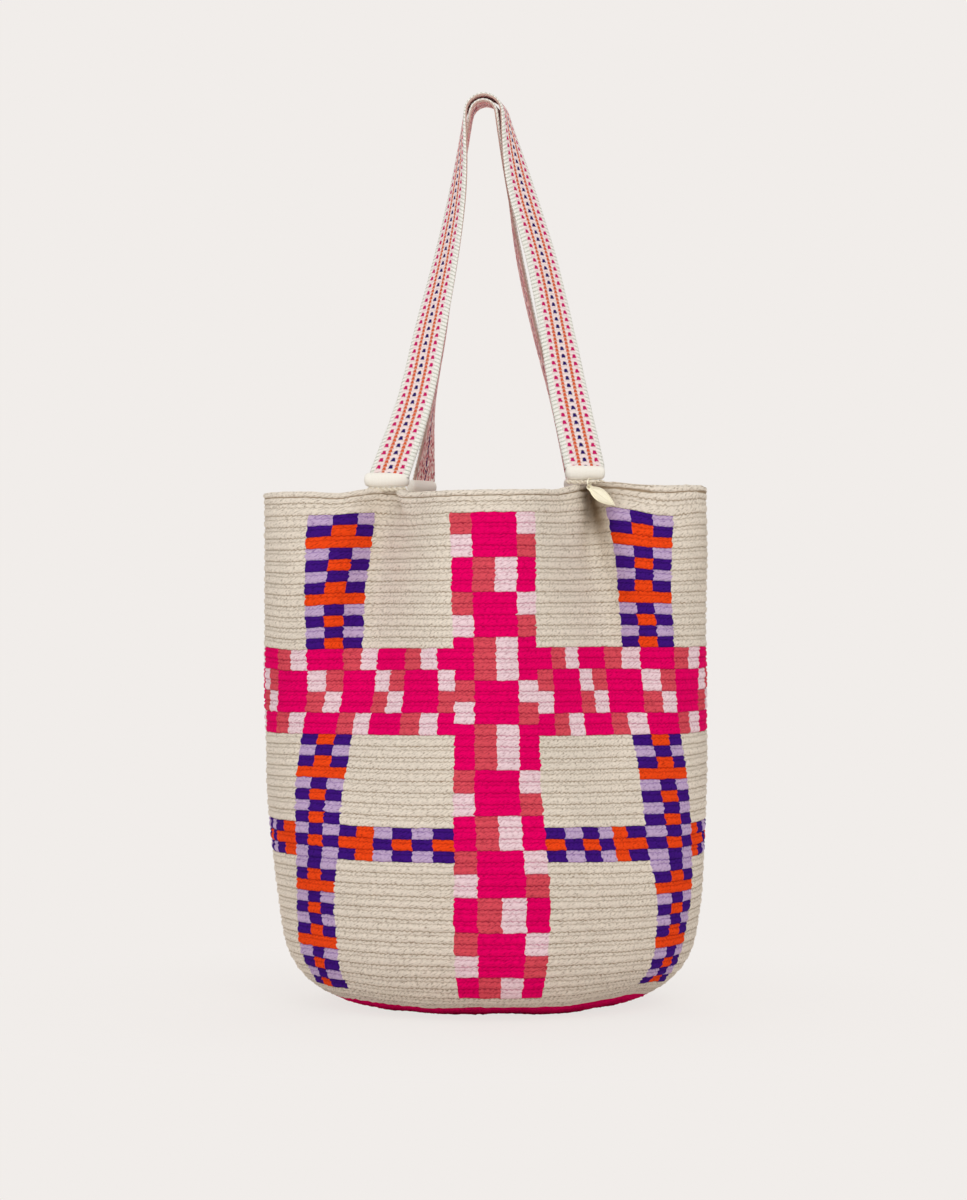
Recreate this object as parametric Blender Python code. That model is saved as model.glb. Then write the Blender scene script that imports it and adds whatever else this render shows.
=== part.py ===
"""Crocheted shopper bag with two woven straps and a small leaf charm.

The body is one crocheted bucket: a round base, a ribbed wall worked in rounds,
and a mouth that the four strap ends draw inwards.  Its plan curve changes with
height, from a circle at the base to a flattened mouth with a bulge between the
strap ends and a crease at each of them.  The two straps are flat woven bands,
one nested in the other where they hang, and each end is folded into a wrapped
roll that a twisted yarn lashes to the rim.  A jump ring on a yarn loop carries
the leaf.  All sizes are in metres, +Z is up and the front faces -Y.
"""

import math

import bmesh
import bpy
import numpy as np
from mathutils import Matrix, Vector

CLEARANCE = 0.0003            # between neighbouring pieces

# Body: the side seen from the front
BAG_RADIUS = 0.1425           # half width of the body
RIM_HEIGHT = 0.3265           # top of the rim at the front centre
WALL_THICKNESS = 0.0042
BASE_FLAT_RADIUS = 0.066      # the flat disc that the bag stands on
CORNER_HEIGHT = 0.045         # height of the rounded lower corner
CORNER_POWER = 2.4            # squareness of that corner
DRAW_IN = 0.018               # how much narrower the wall gets towards the base
DRAW_IN_HEIGHT = 0.170        # height below which it narrows
BASE_SHIFT = 0.0026           # the lower part hangs this much towards +X
BASE_SHIFT_TOP = 0.140        # height above which it doesn't

# Body: the plan curve at the mouth and how far down its folds reach
FOLD_FOOT = 0.080             # height at which the plan is still a circle
FOLD_EASE = 0.14              # how softly the folds set in above that
MOUTH_HALF_DEPTH = 0.062      # half depth of the mouth beside the straps
MOUTH_POWER = 3.8             # squareness of the mouth
BULGE_DEPTH = 0.038           # how far the middle stands in front of that
BULGE_HALF_WIDTH = 0.044
CREASE_DEPTH = 0.024          # inward fold at each strap end
CREASE_FADE = 1.6             # how early the fold starts on its way up
CREASE_WIDTH_MOUTH = 0.014
CREASE_WIDTH_FOOT = 0.030
CREASE_OFFSET_MOUTH = 0.060   # from the middle of the bag
CREASE_OFFSET_FOOT = 0.097
BACK_CREASE_SHIFT = 0.008     # the back folds sit this much further along +X

# Body: crochet rounds
ROUND_PITCH = 0.0070          # height of one ridge of the wall
GROOVE_DEPTH = 0.0011
RIM_BEAD_HEIGHT = 0.0032      # the plain edge round at the top
COLUMNS = 64                  # pattern columns round the bag
QUARTER_STATIONS = (0, 2, 3.5, 4.75, 5.75, 6.75, 8, 9.5, 11, 12.75, 14.5)

# Rim height: a slight tilt, and a lift where each strap pulls
RIM_TILT = 0.0015
RIM_TILT_REACH = 0.100
RIM_RISE_END = 0.300          # distance down from the rim at which the rounds lie level
FOOT_LIFT_REACH = 0.028
FOOT_LIFT_COLUMNS = 2.4

# Straps
STRAP_WIDTH = 0.026
STRAP_THICKNESS = 0.0022
STRAP_GAP = 0.0014            # between the two straps over the peg
STRAP_TOP = 0.582             # highest point of the outer strap
ARCH_OUTER_RADIUS = 0.0140
ARCH_CENTRE_X = -0.001
ARCH_STEPS = 12
LEG_STEPS = 22

# Rolled strap ends and their lashings
WRAP_LENGTH = 0.0285
WRAP_HEIGHT = 0.0090
WRAP_DEPTH = 0.0078
WRAP_SHIFT = 0.0017           # each roll reaches past its strap's outer edge
LASH_LENGTH = 0.024
LASH_DIAMETER = 0.0022
LASH_FLAT = 0.0015            # the twisted pair's smaller width
LASH_TURNS = 2.5

# Charm
CHARM_TURN = math.radians(-25)        # it lies along the fold beside the roll
CHARM_X = 0.0646
CHARM_LOOP_REACH = 0.0095     # from the roll's middle to the loop's front bar
LOOP_YARN_RADIUS = 0.0008
LOOP_INNER_WIDTH = 0.0042
RING_RADIUS = 0.0026
RING_WIRE_RADIUS = 0.00045
LEAF_LENGTH = 0.0205
LEAF_WIDTH = 0.0082
LEAF_THICKNESS = 0.0008
LEAF_EYE_RADIUS = 0.0017
LEAF_HOLE_RADIUS = 0.0008
LEAF_DROP = math.radians(37)          # below the horizontal


class Foot:
    """One strap end: where it meets the rim and how its strap leaves it."""

    def __init__(self, name, x, y, column, lift, turn, turn_low, turn_high, askew, bow, bow_place):
        self.name = name
        self.x = x
        self.y = y
        self.column = column            # pattern column under it
        self.lift = lift                # how far it pulls the rim up
        self.turn = math.radians(turn)  # of the strap's face away from the front or back
        self.turn_low = turn_low        # the more above 1, the nearer to the rim the strap turns edge-on
        self.turn_high = turn_high      # the more above 1, the nearer to the peg it does
        self.askew = math.radians(askew)    # of the strap over the peg
        self.bow = bow                  # of the strap away from a straight line, towards the outside
        self.bow_place = bow_place      # where on the way up it bows most

    @property
    def side(self):
        """Return -1 on the left and 1 on the right."""
        return math.copysign(1.0, self.x)

    @property
    def front(self):
        """Return 1 for the front strap and -1 for the back strap."""
        return -math.copysign(1.0, self.y)

    def width_direction(self, share):
        """Return the direction across the strap, from the rim at 0 to the peg at 1."""
        top = math.pi / 2 - self.side * self.front * self.askew * share ** 4
        ramp = (1.0 - (1.0 - share) ** self.turn_low) ** self.turn_high
        turn = mix(self.turn, top, ramp)
        return Vector((-self.side * self.front * math.cos(turn), -math.sin(turn), 0.0))

    def matrix(self, height):
        """Return the transform of the roll's own axes, its length along X, at one height."""
        across = self.width_direction(0.0) * -self.side * self.front
        place = Vector((self.x, self.y, height)) + across * self.side * WRAP_SHIFT
        return Matrix.Translation(place) @ Matrix.Rotation(math.atan2(across.y, across.x), 4, "Z")


FRONT_LEFT = Foot("front_left", -0.0607, -0.049, -6.6, 0.0004, 0, 1, 0.95, 4, -0.0048, 0.35)
FRONT_RIGHT = Foot("front_right", 0.0621, -0.049, 6.6, 0.0037, 10, 1, 2.7, 11, 0.0036, 0.57)
BACK_LEFT = Foot("back_left", -0.0419, 0.071, 36.0, 0.0010, 57, 10, 1, 8, -0.0027, 0.35)
BACK_RIGHT = Foot("back_right", 0.0605, 0.050, 26.0, 0.0010, 57, 10, 1, 8, -0.0072, 0.55)
FEET = (FRONT_LEFT, FRONT_RIGHT, BACK_LEFT, BACK_RIGHT)


def clear_scene():
    """Remove every object that is already in the scene."""
    for item in list(bpy.data.objects):
        bpy.data.objects.remove(item, do_unlink=True)


def make_material(name, colour, roughness, metallic=0.0):
    """Return a Principled material of one colour."""
    material = bpy.data.materials.new(name)
    material.use_nodes = True
    shader = material.node_tree.nodes["Principled BSDF"]
    shader.inputs["Base Color"].default_value = (*colour, 1.0)
    shader.inputs["Roughness"].default_value = roughness
    shader.inputs["Metallic"].default_value = metallic
    return material


def finish_object(name, bm, material, sharp_angle=40.0):
    """Turn a bmesh into a named, shaded object with its normals outwards."""
    bmesh.ops.recalc_face_normals(bm, faces=bm.faces[:])
    mesh = bpy.data.meshes.new(name)
    bm.to_mesh(mesh)
    bm.free()
    mesh.shade_smooth()
    mesh.set_sharp_from_angle(angle=math.radians(sharp_angle))
    mesh.materials.append(material)
    item = bpy.data.objects.new(name, mesh)
    bpy.context.scene.collection.objects.link(item)
    return item


def wrap_rings(rings, closed=False):
    """Return a bmesh of a tube through rings of points, capped unless it closes on itself."""
    around = len(rings[0])
    along = len(rings) if closed else len(rings) - 1
    bm = bmesh.new()
    bmesh.ops.create_grid(bm, x_segments=around, y_segments=along, size=1.0)
    for vert in bm.verts:
        column = round((vert.co.x + 1.0) / 2.0 * around) % around
        row = round((vert.co.y + 1.0) / 2.0 * along) % len(rings)
        vert.co = Vector(rings[row][column])
    bmesh.ops.remove_doubles(bm, verts=bm.verts[:], dist=1e-7)
    if not closed:
        edges = [edge for edge in bm.edges if edge.is_boundary]
        bmesh.ops.holes_fill(bm, edges=edges, sides=0)
    return bm


def mix(low, high, share):
    """Blend two values."""
    return low + (high - low) * share


def fold_share(z):
    """Return 0 where the plan is a circle and 1 at the mouth."""
    share = min(max((z - FOLD_FOOT) / (RIM_HEIGHT - FOLD_FOOT), 0.0), 1.0)
    return share * share * (1.0 + FOLD_EASE) / (share + FOLD_EASE)


def wall_radius(z):
    """Return the radius of the wall above the corner, narrower towards the base."""
    below = max(1.0 - z / DRAW_IN_HEIGHT, 0.0)
    return BAG_RADIUS - DRAW_IN * below ** 2


def sideways(z):
    """Return how far the rounds at one height stand towards +X."""
    share = max(1.0 - z / BASE_SHIFT_TOP, 0.0)
    return BASE_SHIFT * min(share * 2.0, 1.0)


def side_profile():
    """Return the side from the rim down to the flat base as radius, height and arc length."""
    wall_z = np.linspace(RIM_HEIGHT, CORNER_HEIGHT, 160)
    turn = np.linspace(0.0, math.pi / 2, 120)[1:]
    drop = np.sin(turn) ** (2 / CORNER_POWER)
    corner_z = CORNER_HEIGHT * (1.0 - drop)
    reach = np.cos(turn) ** (2 / CORNER_POWER)
    wall_r = np.array([wall_radius(z) for z in wall_z])
    corner_r = np.array([BASE_FLAT_RADIUS + (wall_radius(z) - BASE_FLAT_RADIUS) * k
                         for z, k in zip(corner_z, reach)])
    radius = np.concatenate([wall_r, corner_r])
    height = np.concatenate([wall_z, corner_z])
    steps = np.hypot(np.diff(radius), np.diff(height))
    return radius, height, np.concatenate([[0.0], np.cumsum(steps)])


def plan_curve(z, radius, samples=1440):
    """Return the closed plan curve at one height, from the front centre round by +X."""
    share = fold_share(z)
    depth = mix(radius, MOUTH_HALF_DEPTH, share)
    power = 2.0 + (MOUTH_POWER - 2.0) * share ** 3
    bulge = BULGE_DEPTH * (1.0 - (1.0 - share) ** 2)
    bulge_power = 2.0 + 2.0 * share ** 2
    crease = CREASE_DEPTH * (1.0 - (1.0 - share) ** CREASE_FADE)
    crease_width = mix(CREASE_WIDTH_FOOT, CREASE_WIDTH_MOUTH, share)
    crease_x = mix(CREASE_OFFSET_FOOT, CREASE_OFFSET_MOUTH, share)
    angle = np.linspace(0.0, 2.0 * math.pi, samples + 1)
    sine = np.sin(angle)
    cosine = np.cos(angle)
    x = radius * np.sign(sine) * np.abs(sine) ** (2 / power)
    facing = np.sign(cosine) * (1.0 - np.exp(-(np.abs(cosine) * 6.0) ** 2))
    shift = np.where(cosine < 0.0, BACK_CREASE_SHIFT * share, 0.0)
    folds = np.exp(-((x - crease_x - shift) / crease_width) ** 2)
    folds += np.exp(-((x + crease_x - shift) / crease_width) ** 2)
    y = -depth * np.sign(cosine) * np.abs(cosine) ** (2 / power)
    y -= facing * bulge * np.exp(-(np.abs(x) / BULGE_HALF_WIDTH) ** bulge_power)
    y += facing * crease * folds
    return x, y


def plan_at_columns(z, radius, columns):
    """Return points of the plan curve at evenly spaced pattern columns, with outward normals."""
    x, y = plan_curve(z, radius)
    arc = np.concatenate([[0.0], np.cumsum(np.hypot(np.diff(x), np.diff(y)))])
    where = np.asarray(columns) % COLUMNS / COLUMNS * arc[-1]
    step = 0.002
    ahead = (where + step) % arc[-1]
    behind = (where - step) % arc[-1]
    along_x = np.interp(ahead, arc, x) - np.interp(behind, arc, x)
    along_y = np.interp(ahead, arc, y) - np.interp(behind, arc, y)
    length = np.hypot(along_x, along_y)
    return np.interp(where, arc, x), np.interp(where, arc, y), along_y / length, -along_x / length


def rim_rise(columns, down):
    """Return how far the rounds rise at each column, fading with the way down from the rim."""
    columns = np.asarray(columns, dtype=float)
    fade = max(1.0 - down / RIM_RISE_END, 0.0) * math.exp(-down / RIM_TILT_REACH)
    rise = RIM_TILT * np.sin(2.0 * math.pi * columns / COLUMNS) * fade
    for foot in FEET:
        away = (columns - foot.column + COLUMNS / 2) % COLUMNS - COLUMNS / 2
        near = np.exp(-(away / FOOT_LIFT_COLUMNS) ** 2)
        rise = rise + foot.lift * near * max(1.0 - down / RIM_RISE_END, 0.0) * math.exp(-down / FOOT_LIFT_REACH)
    return rise


class BodyShape:
    """The crocheted wall as a surface over pattern column and distance down from the rim."""

    def __init__(self):
        self.radius, self.height, self.arc = side_profile()
        self.length = float(self.arc[-1])

    def ring(self, down, inward, columns):
        """Return one ring of points, moved inwards along the surface normal."""
        down = min(max(down, 0.0), self.length)
        radius = float(np.interp(down, self.arc, self.radius))
        height = float(np.interp(down, self.arc, self.height))
        before = max(down - 0.001, 0.0)
        after = min(down + 0.001, self.length)
        slope_r = float(np.interp(after, self.arc, self.radius) - np.interp(before, self.arc, self.radius))
        slope_z = float(np.interp(after, self.arc, self.height) - np.interp(before, self.arc, self.height))
        size = math.hypot(slope_r, slope_z)
        out_r = -slope_z / size
        out_z = slope_r / size
        x, y, normal_x, normal_y = plan_at_columns(height, radius, columns)
        rise = rim_rise(columns, down)
        points = []
        for i in range(len(columns)):
            points.append((x[i] + sideways(height) - inward * out_r * normal_x[i],
                           y[i] - inward * out_r * normal_y[i],
                           height + rise[i] - inward * out_z))
        return points


def body_columns():
    """Return the pattern columns that carry a vertex, the same in each quarter."""
    quarter = COLUMNS / 4
    columns = []
    for index in range(4):
        if index % 2 == 0:
            columns += [index * quarter + value for value in QUARTER_STATIONS]
        else:
            columns += [(index + 1) * quarter - value for value in reversed(QUARTER_STATIONS)]
    mirrored = sorted(set(round(value % COLUMNS, 4) for value in columns + [quarter, 3 * quarter]))
    return mirrored


def build_bag_body(material):
    """Build the crocheted bucket as one closed solid: base, ridged wall, rim and inside."""
    shape = BodyShape()
    columns = body_columns()
    rings = []
    rounds = int((shape.length - RIM_BEAD_HEIGHT) / ROUND_PITCH)
    rings.append(shape.ring(shape.length, 0.0, columns))
    for index in range(rounds, 0, -1):
        groove = RIM_BEAD_HEIGHT + index * ROUND_PITCH
        if groove < shape.length - ROUND_PITCH / 4:
            rings.append(shape.ring(groove, GROOVE_DEPTH, columns))
        rings.append(shape.ring(groove - ROUND_PITCH / 2, 0.0, columns))
    rings.append(shape.ring(RIM_BEAD_HEIGHT, GROOVE_DEPTH, columns))
    rings.append(shape.ring(RIM_BEAD_HEIGHT / 2, 0.0, columns))
    rings.append(shape.ring(0.0, WALL_THICKNESS * 0.3, columns))
    rings.append(shape.ring(0.0, WALL_THICKNESS * 0.8, columns))
    inner_steps = 16
    for index in range(inner_steps + 1):
        down = mix(RIM_BEAD_HEIGHT / 2, shape.length, index / inner_steps)
        rings.append(shape.ring(down, WALL_THICKNESS, columns))
    return finish_object("bag_body", wrap_rings(rings), material, 60.0)


def rim_seat(foot):
    """Return the height of the highest part of the rim under a strap end's lashing."""
    columns = np.linspace(0.0, COLUMNS, COLUMNS * 8, endpoint=False)
    shape = BodyShape()
    to_foot = foot.matrix(0.0).inverted()
    seat = 0.0
    for inward in (0.0, WALL_THICKNESS / 2, WALL_THICKNESS):
        for place in shape.ring(0.0, inward, columns):
            local = to_foot @ Vector(place)
            if abs(local.x) < LASH_LENGTH / 2 and abs(local.y) < LASH_DIAMETER:
                seat = max(seat, local.z)
    return seat if seat > 0.0 else RIM_HEIGHT


def lash_height(foot):
    """Return the height of the middle of a strap end's lashing."""
    return rim_seat(foot) + CLEARANCE + LASH_DIAMETER / 2


def wrap_bottom(foot):
    """Return the height of the underside of a rolled strap end."""
    return lash_height(foot) + LASH_DIAMETER / 2 + CLEARANCE


def strap_leg(foot, radius):
    """Return one leg of a strap from the rim up, as centre points and width directions."""
    bottom = Vector((foot.x, foot.y, wrap_bottom(foot) + WRAP_HEIGHT + CLEARANCE))
    top = Vector((ARCH_CENTRE_X + foot.side * radius, 0.0, STRAP_TOP - ARCH_OUTER_RADIUS))
    bow_power = math.log(0.5) / math.log(foot.bow_place)
    leg = []
    for index in range(LEG_STEPS):
        share = index / LEG_STEPS
        place = bottom.lerp(top, share)
        place.x += foot.side * foot.bow * math.sin(math.pi * share ** bow_power)
        leg.append((place, foot.width_direction(share)))
    return leg


def strap_stations(left, right, radius):
    """Return a strap's centre line with its width directions, from left end to right end."""
    stations = strap_leg(left, radius)
    for index in range(ARCH_STEPS + 1):
        angle = math.pi * (1.0 - index / ARCH_STEPS)
        place = Vector((ARCH_CENTRE_X + math.cos(angle) * radius, 0.0,
                        STRAP_TOP - ARCH_OUTER_RADIUS + math.sin(angle) * radius))
        width = left.width_direction(1.0).lerp(right.width_direction(1.0), index / ARCH_STEPS)
        stations.append((place, width.normalized()))
    stations += reversed(strap_leg(right, radius))
    return stations


def smooth_stations(stations, rounds=2):
    """Relax the inner stations so that the legs run into the arch as one curve."""
    for _ in range(rounds):
        relaxed = [stations[0]]
        for before, here, after in zip(stations, stations[1:], stations[2:]):
            place = (before[0] + here[0] * 2.0 + after[0]) / 4.0
            width = (before[1] + here[1] * 2.0 + after[1]) / 4.0
            relaxed.append((place, width.normalized()))
        relaxed.append(stations[-1])
        stations = relaxed
    return stations


def build_strap(name, left, right, radius, material):
    """Build one woven strap as a band with blunt rounded edges."""
    stations = smooth_stations(strap_stations(left, right, radius))
    half = STRAP_WIDTH / 2
    skin = STRAP_THICKNESS / 2
    section = ((half, 0.0), (half - skin / 2, skin), (-half + skin / 2, skin),
               (-half, 0.0), (-half + skin / 2, -skin), (half - skin / 2, -skin))
    rings = []
    last = len(stations) - 1
    for index, (place, width) in enumerate(stations):
        along = stations[min(index + 1, last)][0] - stations[max(index - 1, 0)][0]
        if index in (0, last):
            along = Vector((0.0, 0.0, 1.0 if index == 0 else -1.0))
        across = (width - along * width.dot(along) / along.length_squared).normalized()
        outwards = across.cross(along).normalized()
        rings.append([place + across * u + outwards * v for u, v in section])
    return finish_object(name, wrap_rings(rings), material, 35.0)


def build_end_wrap(foot, material):
    """Build one rolled and yarn-wrapped strap end as a bar with domed ends."""
    frame = foot.matrix(wrap_bottom(foot) + WRAP_HEIGHT / 2)
    around = 12
    dome = WRAP_HEIGHT * 0.34
    half = WRAP_LENGTH / 2
    profile = []
    for index in range(4):
        angle = math.radians(24 + 22 * index)
        profile.append((-half + dome * (1.0 - math.sin(angle)), 0.60 + 0.40 * math.sin(angle)))
    profile += [(-half * 0.3, 0.97), (half * 0.3, 0.97)]
    profile += [(-x, size) for x, size in reversed(profile[:4])]
    rings = []
    for x, size in profile:
        ring = []
        for step in range(around):
            angle = 2.0 * math.pi * step / around
            ring.append(frame @ Vector((x, math.cos(angle) * WRAP_DEPTH / 2 * size,
                                        math.sin(angle) * WRAP_HEIGHT / 2 * size)))
        rings.append(ring)
    return finish_object("end_wrap_" + foot.name, wrap_rings(rings), material)


def build_lashing(foot, material):
    """Build the twisted yarn between the rim and one rolled strap end."""
    frame = foot.matrix(lash_height(foot))
    steps = 20
    around = 8
    rings = []
    for index in range(steps + 1):
        share = index / steps
        taper = 0.72 if index in (0, steps) else 1.0
        twist = 2.0 * math.pi * LASH_TURNS * share
        ring = []
        for step in range(around):
            angle = 2.0 * math.pi * step / around
            wide = math.cos(angle) * LASH_DIAMETER / 2 * taper
            flat = math.sin(angle) * LASH_FLAT / 2 * taper
            ring.append(frame @ Vector((mix(-LASH_LENGTH / 2, LASH_LENGTH / 2, share),
                                        wide * math.cos(twist) - flat * math.sin(twist),
                                        wide * math.sin(twist) + flat * math.cos(twist))))
        rings.append(ring)
    return finish_object("lashing_" + foot.name, wrap_rings(rings), material)


def charm_frame():
    """Return the transform from the charm's own axes, with its bar along X, to the bag."""
    place = Vector((CHARM_X, FRONT_RIGHT.y - CHARM_LOOP_REACH, lash_height(FRONT_RIGHT)))
    return Matrix.Translation(place) @ Matrix.Rotation(CHARM_TURN, 4, "Z")


def ring_drop():
    """Return how far the ring's centre hangs below the loop's bar."""
    return RING_RADIUS - RING_WIRE_RADIUS - LOOP_YARN_RADIUS - CLEARANCE


def build_charm_loop(material):
    """Build the yarn loop that reaches forward from the lashing and carries the ring."""
    frame = charm_frame()
    half = LOOP_INNER_WIDTH / 2 + LOOP_YARN_RADIUS
    bend = LOOP_YARN_RADIUS * 2.2
    lash = FRONT_RIGHT.matrix(lash_height(FRONT_RIGHT))
    lash_side = LASH_DIAMETER / 2 + CLEARANCE
    straight = lash.inverted() @ Vector((CHARM_X, FRONT_RIGHT.y, frame.translation.z))
    route = []
    for side in (-1, 1):
        leg = [lash @ Vector((straight.x + side * half, -lash_side, 0.0)),
               lash @ Vector((straight.x + side * half, -lash_side - bend * 0.5, 0.0))]
        for step in range(5):
            angle = math.pi / 2 * step / 4
            leg.append(frame @ Vector((side * (half - bend * (1.0 - math.cos(angle))),
                                       bend * (1.0 - math.sin(angle)), 0.0)))
        route += leg if side < 0 else reversed(leg)
    around = 8
    rings = []
    last = len(route) - 1
    upwards = Vector((0.0, 0.0, 1.0))
    for index, place in enumerate(route):
        along = (route[min(index + 1, last)] - route[max(index - 1, 0)]).normalized()
        if index in (0, last):
            along = (route[1] - route[0]).normalized() * (1.0 if index == 0 else -1.0)
        across = along.cross(upwards).normalized()
        ring = []
        for step in range(around):
            angle = 2.0 * math.pi * step / around
            ring.append(place + (across * math.cos(angle) + upwards * math.sin(angle)) * LOOP_YARN_RADIUS)
        rings.append(ring)
    return finish_object("charm_loop", wrap_rings(rings), material)


def build_charm_ring(material):
    """Build the jump ring, hanging on the loop with its plane across the bar."""
    frame = charm_frame()
    centre = Vector((0.0, 0.0, -ring_drop()))
    around = 24
    rings = []
    for index in range(around):
        angle = 2.0 * math.pi * index / around
        outwards = Vector((0.0, math.cos(angle), math.sin(angle)))
        ring = []
        for step in range(8):
            turn = 2.0 * math.pi * step / 8
            ring.append(frame @ (centre + outwards * (RING_RADIUS + RING_WIRE_RADIUS * math.cos(turn))
                                 + Vector((RING_WIRE_RADIUS * math.sin(turn), 0.0, 0.0))))
        rings.append(ring)
    return finish_object("charm_ring", wrap_rings(rings, closed=True), material, 60.0)


def leaf_outline():
    """Return the almond outline of the leaf, from its eye out to the tip and back."""
    neck = LEAF_EYE_RADIUS * 0.85
    upper = []
    for step in range(5):
        angle = math.radians(180 - 26 * step)
        upper.append((LEAF_EYE_RADIUS * math.cos(angle), LEAF_EYE_RADIUS * math.sin(angle)))
    blade = LEAF_LENGTH - neck
    for step in range(1, 10):
        share = step / 9
        wide = math.sin(math.pi * share ** 0.85) ** 0.9
        upper.append((neck + blade * share, LEAF_WIDTH / 2 * wide + LEAF_EYE_RADIUS * 0.75 * (1.0 - share) ** 2))
    upper[-1] = (LEAF_LENGTH, 0.0)
    lower = [(x, -y) for x, y in reversed(upper[1:-1])]
    return upper + lower


def build_charm_leaf(material):
    """Build the leaf, with its eye round the ring's lowest wire."""
    frame = charm_frame()
    hinge = Matrix.Translation((0.0, 0.0, -ring_drop() - RING_RADIUS))
    tilt = Matrix.Rotation(LEAF_DROP, 4, "Y")
    turns = [2.0 * math.pi * step / 14 for step in range(14)]
    hole = [(LEAF_HOLE_RADIUS * math.cos(angle), LEAF_HOLE_RADIUS * math.sin(angle)) for angle in turns]
    bm = bmesh.new()
    for loop in (leaf_outline(), hole):
        verts = [bm.verts.new((x, -LEAF_THICKNESS / 2, z)) for x, z in loop]
        for first, second in zip(verts, verts[1:] + verts[:1]):
            bm.edges.new((first, second))
    bmesh.ops.triangle_fill(bm, edges=bm.edges[:], use_beauty=True)
    pushed = bmesh.ops.extrude_face_region(bm, geom=bm.faces[:], use_keep_orig=True)
    moved = [item for item in pushed["geom"] if isinstance(item, bmesh.types.BMVert)]
    bmesh.ops.translate(bm, verts=moved, vec=(0.0, LEAF_THICKNESS, 0.0))
    bm.transform(frame @ hinge @ tilt)
    return finish_object("charm_leaf", bm, material, 30.0)


def main():
    """Build every piece of the bag."""
    clear_scene()
    yarn = make_material("cream_cotton_crochet", (0.68, 0.62, 0.50), 0.9)
    webbing = make_material("woven_strap", (0.78, 0.62, 0.55), 0.85)
    whipping = make_material("cream_whipping_yarn", (0.76, 0.72, 0.64), 0.85)
    gold = make_material("pale_gold", (0.86, 0.74, 0.42), 0.3, 1.0)
    build_bag_body(yarn)
    outer = ARCH_OUTER_RADIUS - STRAP_THICKNESS / 2
    inner = outer - STRAP_THICKNESS - STRAP_GAP
    build_strap("strap_front", FRONT_LEFT, FRONT_RIGHT, outer, webbing)
    build_strap("strap_back", BACK_LEFT, BACK_RIGHT, inner, webbing)
    for foot in FEET:
        build_end_wrap(foot, whipping)
        build_lashing(foot, whipping)
    build_charm_loop(whipping)
    build_charm_ring(gold)
    build_charm_leaf(gold)


main()
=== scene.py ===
"""Crocheted shopper bag: the looks of the body, straps, rolled strap ends, lashings and charm.

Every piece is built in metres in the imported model's own frame, where +Z is up and the
front faces -Y.  The wall is worked in rounds, so its rows follow the bag's side from
the rim down to the middle of the base, and its columns run once round the bag.
"""

import logging
import math
from dataclasses import dataclass, field
from enum import Enum
from typing import Any, Callable

import bmesh
import bpy
import numpy as np
from mathutils import Matrix, Vector

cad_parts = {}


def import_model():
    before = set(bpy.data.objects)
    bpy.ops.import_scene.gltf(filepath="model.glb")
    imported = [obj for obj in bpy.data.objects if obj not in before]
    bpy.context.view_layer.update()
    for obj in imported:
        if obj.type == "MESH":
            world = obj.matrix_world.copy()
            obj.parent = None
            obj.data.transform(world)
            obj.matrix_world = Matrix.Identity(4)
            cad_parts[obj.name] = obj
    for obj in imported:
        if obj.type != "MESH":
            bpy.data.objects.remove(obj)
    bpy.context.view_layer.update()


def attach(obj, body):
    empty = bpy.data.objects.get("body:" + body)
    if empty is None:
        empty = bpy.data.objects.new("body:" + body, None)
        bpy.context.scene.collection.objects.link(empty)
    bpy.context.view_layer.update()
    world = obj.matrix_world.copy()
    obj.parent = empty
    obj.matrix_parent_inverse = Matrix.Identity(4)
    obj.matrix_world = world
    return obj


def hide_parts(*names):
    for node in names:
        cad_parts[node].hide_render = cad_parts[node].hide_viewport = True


LOG = logging.getLogger("shopper_bag")
MM = 0.001
FULL_TURN = 2.0 * math.pi
PATTERN_COLUMNS = 64                    # columns of the check, once round the bag
MERGE_DISTANCE = 1e-7

# Adds attributes to an unmerged mesh, given each vertex's row and column
Dress = Callable[[bpy.types.Mesh, np.ndarray, np.ndarray], None]

MATH = "ShaderNodeMath"
NOISE = "ShaderNodeTexNoise"
MAPPING = "ShaderNodeMapping"
COLOUR_MIX = "ShaderNodeMix"
# A colour mix's inputs, its share and its two colours, and its output
SHARE, UNDER, OVER, MIXED = 0, 6, 7, 2


# Colours and nodes

class Dye(Enum):
    """Cotton yarns of the bag as sRGB hex: the yarn, and a darker tone for between the stitches, partly
    painted shade and partly carried yarn.
    """

    CREAM = ("#E6DCCE", "#8E7658")
    MAGENTA = ("#EA0064", "#B4004C")
    CORAL = ("#DC505E", "#8E1830")
    BLUSH = ("#EED6DC", "#BE6E88")
    PURPLE = ("#40167E", "#1E0A48")
    ORANGE = ("#F24A18", "#A42410")
    LILAC = ("#C4ACCE", "#6A3C98")


def linear(hex_code: str) -> tuple[float, float, float, float]:
    """Turn an sRGB hex colour into linear light.

    Args:
        hex_code: The colour as #RRGGBB.

    Returns:
        Red, green, blue and an alpha of 1.
    """
    parts = [int(hex_code[i:i + 2], 16) / 255.0 for i in (1, 3, 5)]
    light = [p / 12.92 if p <= 0.04045 else ((p + 0.055) / 1.055) ** 2.4 for p in parts]
    return (light[0], light[1], light[2], 1.0)


def add_node(tree: bpy.types.NodeTree, kind: str, inputs: Any = (), out: int | str = 0,
             **settings: Any) -> Any:
    """Add one node with its settings and links.

    Args:
        tree: The node tree that gets it.
        kind: The node's Blender type.
        inputs: Constants, or sockets that feed it, in order or by the name or number of the input.
        out: The output that is wanted, by name or number.
        settings: Properties of the node itself.

    Returns:
        That output, or nothing where the node has none.
    """
    node = tree.nodes.new(kind)
    for name, value in settings.items():
        setattr(node, name, value)
    for key, term in inputs.items() if isinstance(inputs, dict) else enumerate(inputs):
        if isinstance(term, bpy.types.NodeSocket):
            tree.links.new(term, node.inputs[key])
        else:
            node.inputs[key].default_value = term
    return node.outputs[out] if node.outputs else None


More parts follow.
